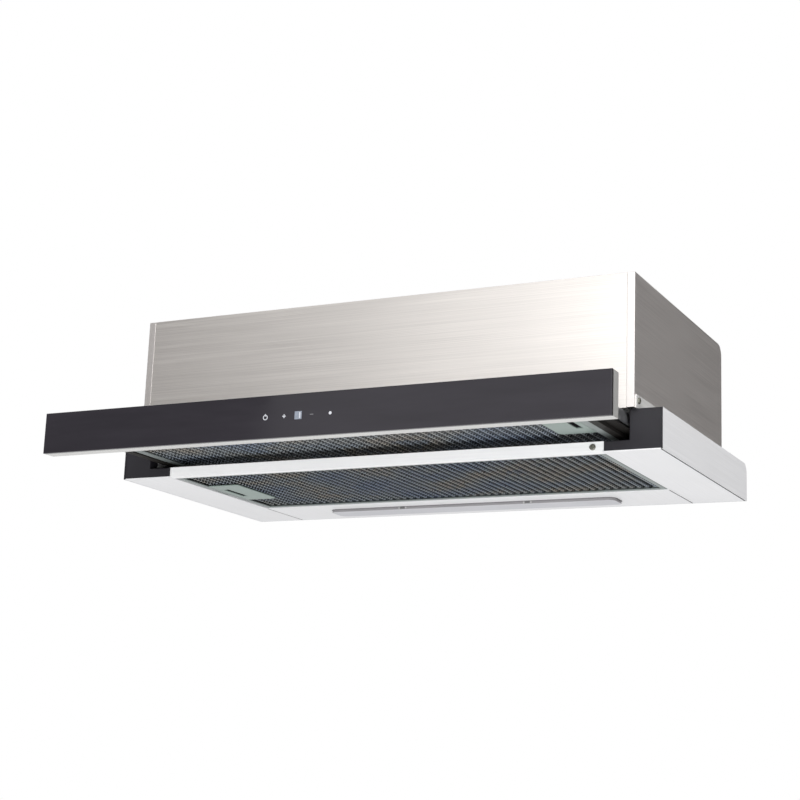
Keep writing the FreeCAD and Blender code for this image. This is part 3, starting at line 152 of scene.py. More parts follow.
def spread(tree, source, low, high):
    """Maps a pattern's middle range to low and high."""
    made = add_node(tree, "ShaderNodeMapRange", {"Value": source}, From_Min=PATTERN_LOW,
                    From_Max=PATTERN_HIGH, To_Min=low, To_Max=high)
    return made.outputs["Result"]


def start_finish(name, metallic, **sockets):
    """A new material with its constant sockets set on the shader itself."""
    material = bpy.data.materials.new(name)
    material.use_nodes = True
    tree = material.node_tree
    shader = tree.nodes["Principled BSDF"]
    shader.inputs["Metallic"].default_value = metallic
    for socket, value in sockets.items():
        shader.inputs[socket.replace("_", " ")].default_value = value
    return material, tree, shader


def feed(tree, shader, **sources):
    """Links patterns to the shader's sockets."""
    for socket, source in sources.items():
        tree.links.new(source, shader.inputs[socket.replace("_", " ")])


def relief(tree, shader, height, distance, strength, edge=EDGE_ROUND):
    """Bump from a pattern, over edges that catch light as if they were slightly rounded."""
    rounded = add_node(tree, "ShaderNodeBevel", Radius=edge, samples=EDGE_SAMPLES)
    bump = add_node(tree, "ShaderNodeBump", {"Height": height, "Normal": rounded.outputs["Normal"]},
                    Strength=strength, Distance=distance)
    feed(tree, shader, Normal=bump.outputs["Normal"])


print("finish helpers ready")

# %% [markdown]
# Brushed stainless steel is mirror steel with thousands of fine scratches, all one way. A noise pattern that is
# drawn out along the brushing gives streaks in tone and in roughness, and a broad second noise gives the soft
# clouds that handling leaves. Streaks along X suit the front, along Y the sides. Zinc shows its crystals instead.
# Each finish below states its name, its colour and its roughness, and then what sets it apart.

# %% Sheet-metal finishes
BRUSH_LONG, BRUSH_FINE = 6.0, 2600.0
ALONG = {"x": (BRUSH_LONG, BRUSH_FINE, BRUSH_FINE), "y": (BRUSH_FINE, BRUSH_LONG, BRUSH_FINE)}
CLOUD_SCALE, CLOUD_VEIL = 5.0, 0.06
ZINC_GRAIN, ZINC_CHANGE = 600.0, 0.10


def brushed(name, colour, rough, along="x", metallic=1.0, streak=0.10):
    """Brushed sheet: streaks along one axis, under broad clouds."""
    material, tree, shader = start_finish(name, metallic)
    lines = noise(tree, ALONG[along], detail=2.0, rough=0.5)
    clouds = noise(tree, CLOUD_SCALE, detail=2.0)
    veil = ramp(tree, clouds, (PATTERN_LOW, (1 - CLOUD_VEIL,) * 3), (PATTERN_HIGH, WHITE))
    feed(tree, shader, Base_Color=multiplied(tree, two_tone(tree, lines, colour, streak), veil),
         Roughness=spread(tree, lines, low=rough - 0.05, high=rough + 0.08))
    relief(tree, shader, lines, distance=0.04 * MM, strength=0.35)
    return material


def zinc(name, colour, rough, scale=140.0, metallic=1.0):
    """Galvanised or zinc-plated steel: crystals that differ a little in tone and gloss."""
    material, tree, shader = start_finish(name, metallic)
    cells = add_node(tree, "ShaderNodeTexVoronoi", {"Vector": stretched(tree, scale)}, Scale=1.0)
    shade = add_node(tree, "ShaderNodeSeparateColor", {"Color": cells.outputs["Color"]})
    feed(tree, shader, Base_Color=two_tone(tree, shade.outputs["Red"], colour, ZINC_CHANGE, low=0.1, high=0.9),
         Roughness=spread(tree, shade.outputs["Green"], low=rough - 0.05, high=rough + 0.10))
    relief(tree, shader, noise(tree, ZINC_GRAIN), distance=0.05 * MM, strength=0.3)
    return material


STEEL_FRONT = brushed("brushed_front_steel", (0.80, 0.765, 0.735), 0.36, "x", streak=0.08)
STEEL_SIDE = brushed("brushed_side_steel", (0.80, 0.765, 0.745), 0.38, "y")
STEEL_COVER = zinc("galvanised_cover", (0.52, 0.53, 0.535), 0.50, 110.0, metallic=0.6)
STEEL_BRACKET = brushed("bright_bracket_steel", (0.80, 0.795, 0.785), 0.45, "y", metallic=0.5, streak=0.06)
STEEL_TRIM = brushed("satin_trim_steel", (0.85, 0.85, 0.865), 0.42, "y", metallic=0.20, streak=0.05)
STEEL_RAIL = brushed("satin_rail_steel", (0.96, 0.965, 0.975), 0.40, "x", metallic=0.20, streak=0.05)
STEEL_SHAFT = brushed("ground_shaft_steel", (0.62, 0.62, 0.62), 0.25, "y")
ALU_CARRIER = brushed("anodised_carrier", (0.82, 0.815, 0.80), 0.38, "x", metallic=0.85, streak=0.05)
ALU_FRAME = brushed("satin_filter_frame", (0.30, 0.335, 0.33), 0.42, "x", metallic=0.6, streak=0.08)
# zinc whose tone is lowered as painted shade, for the shade in the notch where the slides show
ZINC_SLIDE_SHADED = zinc("zinc_plated_slide_shaded", (0.42, 0.43, 0.44), 0.36)
ZINC_STRAP = zinc("zinc_plated_strap", (0.60, 0.61, 0.62), 0.40)
ZINC_SCREW = zinc("zinc_plated_screw", (0.21, 0.21, 0.18), 0.36, 400.0)
print("sheet-metal finishes:", len(bpy.data.materials))

# %% [markdown]
# Moulded plastic and powder coat look alike: a nearly even colour, a fine grain and a soft sheen. Only the grain's
# size, the sheen and the colour differ, so one function makes them all. Each states its colour and roughness, and
# the scale of its grain where that isn't the usual one.

# %% Moulded and coated finishes
MOULD_ROUND = 0.6 * MM
MOULD_CLOUDS, MOULD_CHANGE = 14.0, 0.12


def moulded(name, colour, rough, grain=1400.0, depth=0.06 * MM, **sockets):
    """Plastic, paint or powder coat: fine pores and faint clouds."""
    material, tree, shader = start_finish(name, 0.0, **sockets)
    clouds = noise(tree, MOULD_CLOUDS)
    feed(tree, shader, Base_Color=two_tone(tree, clouds, colour, MOULD_CHANGE),
         Roughness=spread(tree, clouds, low=rough - 0.04, high=rough + 0.06))
    relief(tree, shader, noise(tree, grain, detail=2.0), distance=depth, strength=0.5, edge=MOULD_ROUND)
    return material


CAP_BLACK = moulded("satin_cap_black", (0.021, 0.020, 0.024), 0.40, Specular_IOR_Level=0.25)
DRAWER_BLACK = moulded("powder_coat_black", (0.018, 0.0165, 0.015), 0.55, 500.0, depth=0.10 * MM,
                       Specular_IOR_Level=0.12)
LATCH_GREEN = moulded("anodised_latch_plate", (0.225, 0.285, 0.26), 0.38, 900.0, depth=0.03 * MM)
FAN_GREY = moulded("fan_moulding", (0.10, 0.10, 0.11), 0.50, 700.0)
WHEEL_BLACK = moulded("wheel_moulding", (0.045, 0.045, 0.05), 0.45)
MOTOR_PAINT = moulded("motor_paint", (0.24, 0.25, 0.26), 0.40, 400.0, depth=0.10 * MM)
CASE_GREY = moulded("control_case_grey", (0.55, 0.56, 0.56), 0.48, 900.0)
CAN_WHITE = moulded("capacitor_white", (0.72, 0.72, 0.69), 0.40, 900.0)
NYLON_BLACK = moulded("gland_nylon", (0.030, 0.030, 0.032), 0.40, 900.0)
COLLAR_BLACK = moulded("collar_moulding", (0.045, 0.045, 0.048), 0.46, 700.0)
FLAP_GREY = moulded("flap_moulding", (0.085, 0.085, 0.09), 0.46, 700.0)
BOARD_WHITE = moulded("lamp_board_white", (0.74, 0.75, 0.72), 0.45, 900.0)
BOARD_GREEN = moulded("circuit_board_green", (0.03, 0.16, 0.07), 0.38, 900.0)
CHIP_YELLOW = moulded("phosphor_chip", (0.80, 0.68, 0.25), 0.35, 1200.0)
MODULE_GREY = moulded("display_module_grey", (0.20, 0.24, 0.30), 0.30, 1200.0)
print("finishes now:", len(bpy.data.materials))

# %% [markdown]
# The black glass is printed from behind: its face is smooth, and only faint wipe marks break the gloss. The lamp's
# lens is frosted. Its flat face is bright, and its upright walls, which look into the dark tray, get painted shade:
# the slope of the surface darkens their colour.

# %% Glass and lens finishes
WIPE_SCALE, WIPE_TURN = (9.0, 9.0, 60.0), (0, 0.5, 0)
RIB_SCALE, RIB_ROUND = 160.0, 0.8 * MM
WALL_PAINTED_SHADE, STEEP_SLOPE, FLAT_SLOPE = (0.42, 0.41, 0.40), 0.3, 0.8


def printed_glass(name, colour):
    material, tree, shader = start_finish(name, 0.0, Specular_IOR_Level=0.32, IOR=1.5)
    wipes = noise(tree, WIPE_SCALE, rough=0.6, turn=WIPE_TURN)
    feed(tree, shader, Base_Color=two_tone(tree, wipes, colour, change=0.10),
         Roughness=spread(tree, wipes, low=0.05, high=0.12))
    relief(tree, shader, wipes, distance=0.01 * MM, strength=0.1, edge=MOULD_ROUND)
    return material


def frosted(name, colour):
    """Frosted plastic with fine ribs along the lamp, and painted shade on its upright walls."""
    material, tree, shader = start_finish(name, 0.0, IOR=1.58)
    ribs = add_node(tree, "ShaderNodeTexWave", {"Vector": stretched(tree, (0.0, RIB_SCALE, 0.0))}, Scale=1.0,
                    bands_direction="Y", Distortion=0.0)
    facing = add_node(tree, "ShaderNodeNewGeometry")
    parts = add_node(tree, "ShaderNodeSeparateXYZ", {"Vector": facing.outputs["True Normal"]})
    flatness = add_node(tree, "ShaderNodeMath", {0: parts.outputs["Z"]}, operation="ABSOLUTE")
    # painted shade: the colour darkens where the surface stands upright
    painted_wall_shade = ramp(tree, flatness.outputs[0], (STEEP_SLOPE, WALL_PAINTED_SHADE), (FLAT_SLOPE, WHITE))
    face = two_tone(tree, noise(tree, 12.0, detail=2.0), colour, change=0.05)
    frost = noise(tree, 700.0, detail=2.0)
    feed(tree, shader, Base_Color=multiplied(tree, face, painted_wall_shade),
         Roughness=spread(tree, frost, low=0.38, high=0.55))
    relief(tree, shader, ribs.outputs["Fac"], distance=0.08 * MM, strength=0.4, edge=RIB_ROUND)
    return material


GLASS_BLACK = printed_glass("back_printed_glass", (0.022, 0.020, 0.025))
LENS_FROST = frosted("frosted_lens", (0.55, 0.55, 0.585))
print("finishes now:", len(bpy.data.materials))

# %% [markdown]
# Each CAD solid keeps its shape and takes a finish in its material slots. A table from finish to node names keeps
# this in one place. Left and right twins share a finish.

# %% Finishes for the CAD solids
def both(name):
    return [f"{name}_left", f"{name}_right"]


FINISHES = [
    (STEEL_FRONT, ["box_front_panel"]),
    (STEEL_SIDE, both("box_side")),
    (STEEL_COVER, ["top_and_back_cover", "canopy_back"]),
    (STEEL_BRACKET, both("side_bracket")),
    (STEEL_TRIM, both("side_trim") + both("bottom_strip") + ["lamp_panel"]),
    (STEEL_RAIL, ["front_rail"]),
    (STEEL_SHAFT, ["fan_shaft", "damper_pin"]),
    (ALU_CARRIER, ["front_carrier"]),
    (ALU_FRAME, ["lower_filter_frame", "upper_filter_frame"]),
    (LATCH_GREEN, ["lower_filter_latch", "upper_filter_latch"]),
    (CAP_BLACK, both("corner_cap")),
    (GLASS_BLACK, ["glass_panel"]),
    (DRAWER_BLACK, both("drawer_side") + ["drawer_rear_bar"]),
    (ZINC_SLIDE_SHADED, both("slide_outer") + both("slide_middle") + both("slide_inner")),
    (ZINC_STRAP, ["motor_bracket"]),
    (LENS_FROST, ["lamp_lens"]),
    (BOARD_WHITE, ["led_board"]),
    (CHIP_YELLOW, ["led_chips"]),
    (BOARD_GREEN, ["touch_board"]),
    (MODULE_GREY, ["display_module"]),
    (FAN_GREY, ["fan_housing"]),
    (WHEEL_BLACK, ["impeller"]),
    (MOTOR_PAINT, ["motor"]),
    (CASE_GREY, ["control_box"]),
    (CAN_WHITE, ["capacitor"]),
    (COLLAR_BLACK, ["outlet_collar"]),
    (FLAP_GREY, ["damper_flap_front", "damper_flap_rear"]),
    (NYLON_BLACK, ["cable_gland"]),
    (ZINC_SCREW, ["rail_screw", "flange_screws", "cover_screws", "carrier_screws"]),
]
finished = 0
for material, names in FINISHES:
    for name in names:
        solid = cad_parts[name]
        if not solid.material_slots:
            solid.data.materials.append(material)
        for slot in solid.material_slots:
            slot.material = material
        finished += 1
print("solids with a finish:", finished, "of", len(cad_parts))

# %% [markdown]
# New pieces are modelled as by hand: add a primitive, shape it in edit mode, finish it with modifiers. Operators
# act on everything that is selected, so each piece starts by deselecting all.

# %% Helpers for selecting and editing
TINY = 0.01 * MM


def clear_selection():
    if bpy.context.object and bpy.context.object.mode != "OBJECT":
        bpy.ops.object.mode_set(mode="OBJECT")
    bpy.ops.object.select_all(action="DESELECT")


def active():
    """The object that the last operator made or worked on."""
    return bpy.context.view_layer.objects.active


def pick(obj):
    """Makes this the only selected object."""
    clear_selection()
    obj.select_set(True)
    bpy.context.view_layer.objects.active = obj


def edit_all(obj):
    """Goes to edit mode with everything selected."""
    pick(obj)
    bpy.ops.object.mode_set(mode="EDIT")
    bpy.ops.mesh.select_all(action="SELECT")


def select_in_edit(obj, mode, test):
    """Goes to edit mode with just those parts selected that pass a test of a place, two ends or a face."""
    pick(obj)
    bpy.ops.object.mode_set(mode="EDIT")
    bpy.ops.mesh.select_mode(type={"verts": "VERT", "edges": "EDGE", "faces": "FACE"}[mode])
    bpy.ops.mesh.select_all(action="DESELECT")
    bpy.ops.object.mode_set(mode="OBJECT")
    mesh = obj.data
    parts = {"verts": mesh.vertices, "edges": mesh.edges, "faces": mesh.polygons}[mode]
    for part in parts:
        if mode == "verts":
            part.select = test(part.co)
        elif mode == "faces":
            part.select = test(part)
        else:
            part.select = test(*(mesh.vertices[i].co for i in part.vertices))
    bpy.ops.object.mode_set(mode="EDIT")


def leave_edit():
    bpy.ops.object.mode_set(mode="OBJECT")


print("editing helpers ready")

# %% [markdown]
# When a piece is done its place is applied to the mesh, it gets a finish, it rides on the body that carries it, and
# it names its material slot. A block with bevelled edges is needed often, so it has a helper of its own.

# %% Helpers for pieces
def apply_place(obj):
    pick(obj)
    bpy.ops.object.transform_apply(location=True, rotation=True, scale=True)


def apply_modifier(obj, kind, **settings):
    pick(obj)
    modifier = obj.modifiers.new(kind.lower(), kind)
    for name, value in settings.items():
        setattr(modifier, name, value)
    bpy.ops.object.modifier_apply(modifier=modifier.name)


def join(name, pieces):
    """Several meshes as one object."""
    pick(pieces[0])
    for piece in pieces[1:]:
        piece.select_set(True)
    if len(pieces) > 1:
        bpy.ops.object.join()
    made = active()
    made.name = name
    return made


def copy_of(obj, place, turn=None):
    """A copy with its own mesh, turned and moved."""
    pick(obj)
    bpy.ops.object.duplicate(linked=False)
    twin = active()
    twin.matrix_world = Matrix.Translation(Vector(place)) @ (turn or Matrix()) @ twin.matrix_world
    apply_place(twin)
    return twin


def box_piece(name, low, high, bevel=0.0, segments=2):
    """A block between two corners in metres, with its edges bevelled."""
    clear_selection()
    bpy.ops.mesh.primitive_cube_add(size=1.0, location=[(a + b) / 2 for a, b in zip(low, high)])
    made = active()
    made.name = name
    made.scale = [b - a for a, b in zip(low, high)]
    apply_place(made)
    if bevel:
        edit_all(made)
        bpy.ops.mesh.bevel(offset=bevel, segments=segments, affect="EDGES")
        leave_edit()
    return made


def finish_piece(obj, name, material, body):
    """Names a piece, gives it its finish, and ties it to the body that carries it."""
    apply_place(obj)
    obj.name = name
    obj.data.name = name
    if not obj.data.materials:
        obj.data.materials.append(material)
    for place in obj.material_slots:
        place.material = place.material or material
    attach(obj, body)
    print(f"{name}: {len(obj.data.polygons)} faces on {body}")


print("modelling helpers ready")

# %% [markdown]
# A grease filter is a stack of expanded aluminium: sheets that are slit and pulled open into diamonds. The sheet
# that shows is pleated, and its colour gets a painted highlight on the ridges and painted shade in the valleys. A
# wave texture with the pleats' own pitch tells them apart; it turns by 20 radians in each unit of length. A broad
# noise tints the metal with a film of grease.

# %% Finish of the expanded mesh
PLEAT_CELL = (8.5 * MM, 5.8 * MM)
WAVE_TURN, VALLEY_END, RIDGE_START = 20.0, 0.40, 0.98
FILM_SCALE, GRAIN_SCALE = (9.0, 13.0, 9.0), (160.0, 60.0, 60.0)
GREASE_TINTS = ((0.36, (0.66, 0.78, 1.0)), (0.50, (0.86, 0.94, 1.0)), (0.60, (1.0, 0.93, 0.83)),
                (0.68, (0.68, 0.75, 0.85)))


def aluminium_mesh(name, painted_valley_shade, painted_ridge_highlight):
    """Aluminium with a film of grease in blue-grey and warm patches, a painted highlight on the ridges of the pleats
    and painted shade in their valleys.
    """
    material, tree, shader = start_finish(name, 1.0)
    grain = noise(tree, GRAIN_SCALE, detail=1.0)
    tint = ramp(tree, noise(tree, FILM_SCALE, rough=0.6), *GREASE_TINTS)
    across = stretched(tree, (math.tau / WAVE_TURN / PLEAT_CELL[0], 1.0, 1.0))
    pleats = add_node(tree, "ShaderNodeTexWave", {"Vector": across}, Scale=1.0, bands_direction="X",
                      Phase_Offset=math.pi)
    # painted highlight on the ridges of the pleats and painted shade in their valleys
    painted_pleat_light = ramp(tree, pleats.outputs["Fac"], (VALLEY_END, (painted_valley_shade,) * 3), (RIDGE_START, (painted_ridge_highlight,) * 3))
    bump = add_node(tree, "ShaderNodeBump", {"Height": grain}, Strength=0.3, Distance=0.2 * MM)
    feed(tree, shader, Base_Color=multiplied(tree, tint, painted_pleat_light), Normal=bump.outputs["Normal"],
         Roughness=spread(tree, grain, low=0.24, high=0.44))
    return material


MESH_OUTER = aluminium_mesh("expanded_mesh", painted_valley_shade=0.03, painted_ridge_highlight=0.49)
# painted light: the upper filter's copy is painted lighter in its valleys and dimmer on its ridges
MESH_UPPER_PAINTED_LIGHT = aluminium_mesh("expanded_mesh_upper_painted_light", painted_valley_shade=0.14, painted_ridge_highlight=0.44)
# painted shade: the inner sheet is the same aluminium painted dark, for the shade between the layers
MESH_INNER_SHADED = aluminium_mesh("expanded_mesh_inner_shaded", painted_valley_shade=0.03, painted_ridge_highlight=0.06)
print("finishes now:", len(bpy.data.materials))

# %% [markdown]
# A wireframe of a diamond grid gives the strands. A flat grid of squares is turned by 45 degrees and stretched into
# diamonds, and cut to the frame's inside with bisect. The knots over the latch are deleted, so that its finger cup
# has room. The rest is turned into strands with the wireframe modifier and flattened.

# %% A sheet of strands
STRAND_FLAT = 0.45


def diamond_sheet(name, low, high, cell, strand, opening):
    """One flat sheet of strands at z = 0 over the rectangle low..high in X and Y, with an opening left in it."""
    width, depth = high[0] - low[0], high[1] - low[1]
    count = 2 * math.ceil((width / cell[0] + depth / cell[1]) / 2 + 1)
    clear_selection()
    bpy.ops.mesh.primitive_grid_add(x_subdivisions=count, y_subdivisions=count, size=count)
    sheet = active()
    sheet.name = name
    sheet.rotation_euler.z = math.radians(45)
    apply_place(sheet)
    sheet.scale = (cell[0] / math.sqrt(2), cell[1] / math.sqrt(2), 1.0)
    sheet.location = ((low[0] + high[0]) / 2, (low[1] + high[1]) / 2, 0)
    apply_place(sheet)
    for point, normal in (((low[0], 0, 0), (-1, 0, 0)), ((high[0], 0, 0), (1, 0, 0)),
                          ((0, low[1], 0), (0, -1, 0)), ((0, high[1], 0), (0, 1, 0))):
        edit_all(sheet)
        bpy.ops.mesh.bisect(plane_co=point, plane_no=normal, clear_outer=True)
    (x0, x1), (y0, y1) = opening
    select_in_edit(sheet, "verts", lambda co: x0 < co.x < x1 and y0 < co.y < y1)
    bpy.ops.mesh.delete(type="VERT")
    bpy.ops.mesh.select_all(action="SELECT")
    bpy.ops.mesh.delete_loose(use_verts=True, use_edges=True, use_faces=False)
    leave_edit()
    apply_modifier(sheet, "WIREFRAME", thickness=strand, use_even_offset=True, use_boundary=True)
    edit_all(sheet)
    bpy.ops.transform.resize(value=(1, 1, STRAND_FLAT), center_override=(0, 0, 0))
    leave_edit()
    return sheet


print("strands ready, flattened to", STRAND_FLAT)

# %% [markdown]
# Each filter has two sheets. In the one that shows, every other column of knots is pushed up, which folds the sheet
# into pleats. A coarser flat sheet, in a darker copy of the finish as painted shade, lies behind it. Together they
# replace the plain mesh of the CAD model.

# %% Expanded mesh of the filters
PLEAT, PLEAT_RISE, PLEAT_STRAND = 2.6 * MM, 0.5 * MM, 1.1 * MM
FLAT_CELL, FLAT_STRAND, FLAT_RISE = (17.0 * MM, 7.4 * MM), 2.6 * MM, 4.6 * MM
LOWER_OPENING = ((-239.5 * MM, -211.5 * MM), (-204.0 * MM, -154.0 * MM))
UPPER_OPENING = ((217.2 * MM, 248.0 * MM), (-360.5 * MM, -310.5 * MM))


def raise_to(sheet, rise, material):
    sheet.location.z = rise
    apply_place(sheet)
    sheet.data.materials.append(material)
    return sheet


def filter_mesh(name, node, body, opening, material):
    """The pleated and the flat sheet of one filter, with room left over the latch's finger cup."""
    low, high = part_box(node)
    middle = (low[0] + high[0]) / 2
    pleated = diamond_sheet(f"{name}_pleated", low, high, PLEAT_CELL, PLEAT_STRAND, opening)
    select_in_edit(pleated, "verts", lambda co: round((co.x - middle) / (PLEAT_CELL[0] / 2)) % 2 == 1)
    bpy.ops.transform.translate(value=(0, 0, PLEAT))
    leave_edit()
    flat = diamond_sheet(f"{name}_flat", low, high, FLAT_CELL, FLAT_STRAND, opening)
    mesh = join(name, [raise_to(pleated, low[2] + PLEAT_RISE, material),
                       raise_to(flat, low[2] + FLAT_RISE, MESH_INNER_SHADED)])
    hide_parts(node)
    finish_piece(mesh, name, material, body)


filter_mesh("lower_mesh", "lower_filter_mesh", "hood", LOWER_OPENING, MESH_OUTER)
filter_mesh("upper_mesh", "upper_filter_mesh", "drawer", UPPER_OPENING, MESH_UPPER_PAINTED_LIGHT)

# %% [markdown]
# Behind each latch plate's finger slot sits a pressed cup that a fingertip pulls on; its black is painted shade in
# the slot. It is a block without its lower face, given a wall with Solidify, and it rides on the latch, which slides
# with it.

# %% Finger cups of the latches
CUP_WALL, CUP_MARGIN, CUP_HEIGHT, CUP_ROUND = 0.5 * MM, 0.6 * MM, 5.2 * MM, 1.2 * MM
LOWER_SLOT = ((-228.0 * MM, -221.5 * MM), (-200.1 * MM, -158.1 * MM))
UPPER_SLOT = ((227.2 * MM, 233.7 * MM), (-356.6 * MM, -314.6 * MM))
LOWER_PLATE_TOP, UPPER_PLATE_TOP = 1.82 * MM, 18.02 * MM
DOWNWARD = -0.9


def finger_cup(name, slot, floor_level, body):
    (x0, x1), (y0, y1) = slot
    cup = box_piece(name, (x0 - CUP_MARGIN, y0 - CUP_MARGIN, floor_level),
                    (x1 + CUP_MARGIN, y1 + CUP_MARGIN, floor_level + CUP_HEIGHT))
    select_in_edit(cup, "faces", lambda face: face.normal.z < DOWNWARD)
    bpy.ops.mesh.delete(type="FACE")
    bpy.ops.mesh.select_mode(type="EDGE")
    bpy.ops.mesh.select_all(action="SELECT")
    bpy.ops.mesh.bevel(offset=CUP_ROUND, segments=3, affect="EDGES")
    leave_edit()
    apply_modifier(cup, "SOLIDIFY", thickness=CUP_WALL, offset=-1.0)
    # the caps' black here is painted shade in the finger slot
    finish_piece(cup, name, CAP_BLACK, body)


finger_cup("lower_finger_cup", LOWER_SLOT, LOWER_PLATE_TOP, "lower_latch")
finger_cup("upper_finger_cup", UPPER_SLOT, UPPER_PLATE_TOP, "upper_latch")

# %% [markdown]
# The touch signs are printed behind the glass and lit from the touch board: power, plus, a one-digit display, minus
# and lamp. Each is a thin plate that lies on the glass. A ring is a disc whose face is inset, so that the middle can
# be taken out, and a bar is a bevelled block.

# %% Helpers for the touch signs
GLASS_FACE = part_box("glass_panel")[0][1]
SIGN_DEPTH = 0.12 * MM


def lit(name, colour, strength):
    """A lit print: an even glow with faint cloudiness."""
    material, tree, shader = start_finish(name, 0.0, Roughness=0.3, Emission_Strength=strength)
    glow = two_tone(tree, noise(tree, 300.0, detail=2.0), colour, change=0.12)
    feed(tree, shader, Base_Color=glow, Emission_Color=glow)
    return material


def sign_bar(x, z, width, height):
    """A flat bar on the glass, centred at x and z."""
    return box_piece("bar", (x - width / 2, GLASS_FACE - SIGN_DEPTH, z - height / 2),
                     (x + width / 2, GLASS_FACE + SIGN_DEPTH / 2, z + height / 2), SIGN_DEPTH / 3, 1)


def sign_ring(x, z, radius, wall):
    """A flat ring on the glass, or a disc where the wall is as wide as the radius."""
    clear_selection()
    bpy.ops.mesh.primitive_circle_add(vertices=40, radius=radius, fill_type="NGON",
                                      location=(x, GLASS_FACE, z), rotation=(math.pi / 2, 0, 0))
    ring = active()
    if wall < radius:
        edit_all(ring)
        bpy.ops.mesh.inset(thickness=wall)
        bpy.ops.mesh.delete(type="FACE")
        leave_edit()
    apply_place(ring)
    apply_modifier(ring, "SOLIDIFY", thickness=SIGN_DEPTH, offset=1.0)
    return ring


SIGN_WHITE = lit("lit_sign", (0.46, 0.47, 0.50), strength=0.28)
SIGN_DIM = lit("dim_sign", (0.13, 0.13, 0.14), strength=0.10)
DISPLAY_BLUE = lit("display_window", (0.17, 0.19, 0.23), strength=0.25)
print("glass face at", round(GLASS_FACE, 4))

# %% [markdown]
# With these helpers the signs are a matter of places and sizes. All are on one level of the glass. The digit is
# two upright bars, which stand a little before the window.

# %% Touch signs and the display
SIGN_LEVEL = 21.5 * MM
POWER_X, PLUS_X, WINDOW_X, DIGIT_X, MINUS_X, LAMP_X = (x * MM for x in (-42.2, -21.9, -6.8, -5.0, 7.6, 27.2))
RING_RADIUS, RING_WALL, DOT_RADIUS = 2.5 * MM, 0.7 * MM, 1.5 * MM
POWER_RISE, POWER_BAR = 2.2 * MM, 2.4 * MM
PLUS_LONG, PLUS_THICK = 3.4 * MM, 0.9 * MM
MINUS_LONG, MINUS_THICK = 3.6 * MM, 0.8 * MM
WINDOW_WIDTH, WINDOW_HEIGHT = 7.5 * MM, 7.6 * MM
DIGIT_RISE, DIGIT_WIDTH, DIGIT_HEIGHT = 1.45 * MM, 1.1 * MM, 2.7 * MM

signs = [sign_ring(POWER_X, SIGN_LEVEL, RING_RADIUS, RING_WALL),
         sign_bar(POWER_X, SIGN_LEVEL + POWER_RISE, RING_WALL, POWER_BAR),
         sign_bar(PLUS_X, SIGN_LEVEL, PLUS_LONG, PLUS_THICK),
         sign_bar(PLUS_X, SIGN_LEVEL, PLUS_THICK, PLUS_LONG),
         sign_ring(LAMP_X, SIGN_LEVEL, DOT_RADIUS, DOT_RADIUS)]
finish_piece(join("touch_signs", signs), "touch_signs", SIGN_WHITE, "drawer")
minus = sign_bar(MINUS_X, SIGN_LEVEL, MINUS_LONG, MINUS_THICK)
finish_piece(minus, "minus_sign", SIGN_DIM, "drawer")
window = sign_bar(WINDOW_X, SIGN_LEVEL, WINDOW_WIDTH, WINDOW_HEIGHT)
finish_piece(window, "display_window", DISPLAY_BLUE, "drawer")
digit = [sign_bar(DIGIT_X, SIGN_LEVEL + rise, DIGIT_WIDTH, DIGIT_HEIGHT) for rise in (DIGIT_RISE, -DIGIT_RISE)]
for bar in digit:
    bar.location.y = -SIGN_DEPTH / 2
    apply_place(bar)
finish_piece(join("display_digit", digit), "display_digit", SIGN_WHITE, "drawer")

# %% [markdown]
# The screws of the hood are pan heads with a cross recess. One is modelled: a cylinder with its upper edge bevelled
# and a cross cut out with a boolean, on a shank with a bevelled end.

# %% A pan-head screw
HEAD_RADIUS, HEAD_HEIGHT, HEAD_ROUND = 3.0 * MM, 1.8 * MM, 1.0 * MM
SHANK_RADIUS, SHANK_LENGTH, SHANK_BEVEL = 1.9 * MM, 6.0 * MM, 0.8 * MM
CROSS_LONG, CROSS_WIDE, CROSS_FLOOR, CROSS_TOP = 1.9 * MM, 0.45 * MM, 0.7 * MM, 3.0 * MM


def turned_pin(radius, low, high, rim, bevel, vertices, segments):
    """A cylinder between two levels, bevelled at the one of them that is named as its rim."""
    clear_selection()
    bpy.ops.mesh.primitive_cylinder_add(vertices=vertices, radius=radius, depth=high - low,
                                        location=(0, 0, (low + high) / 2))
    pin = active()
    apply_place(pin)
    select_in_edit(pin, "edges", lambda a, b: max(abs(a.z - rim), abs(b.z - rim)) < TINY)
    bpy.ops.mesh.bevel(offset=bevel, segments=segments, affect="EDGES")
    leave_edit()
    return pin


def pan_screw():
    """A screw at the origin: its head stands up along +Z from z = 0, its shank goes down."""
    head = turned_pin(HEAD_RADIUS, low=0, high=HEAD_HEIGHT, rim=HEAD_HEIGHT, bevel=HEAD_ROUND,
                      vertices=32, segments=4)
    for x, y in ((CROSS_LONG, CROSS_WIDE), (CROSS_WIDE, CROSS_LONG)):
        cutter = box_piece("slot", (-x, -y, CROSS_FLOOR), (x, y, CROSS_TOP))
        apply_modifier(head, "BOOLEAN", object=cutter, operation="DIFFERENCE", solver="EXACT")
        bpy.data.objects.remove(cutter)
    shank = turned_pin(SHANK_RADIUS, low=-SHANK_LENGTH, high=0, rim=-SHANK_LENGTH, bevel=SHANK_BEVEL,
                       vertices=16, segments=2)
    return join("pan_screw", [head, shank])


pattern_screw = pan_screw()
print("pattern screw:", len(pattern_screw.data.polygons), "faces")

# %% [markdown]
# Copies of the screw are turned to face out of their sheets. Within a group no two recesses point the same way, as
# after a real assembly. Each group replaces the plain screws of the CAD model. The seats are in millimetres.

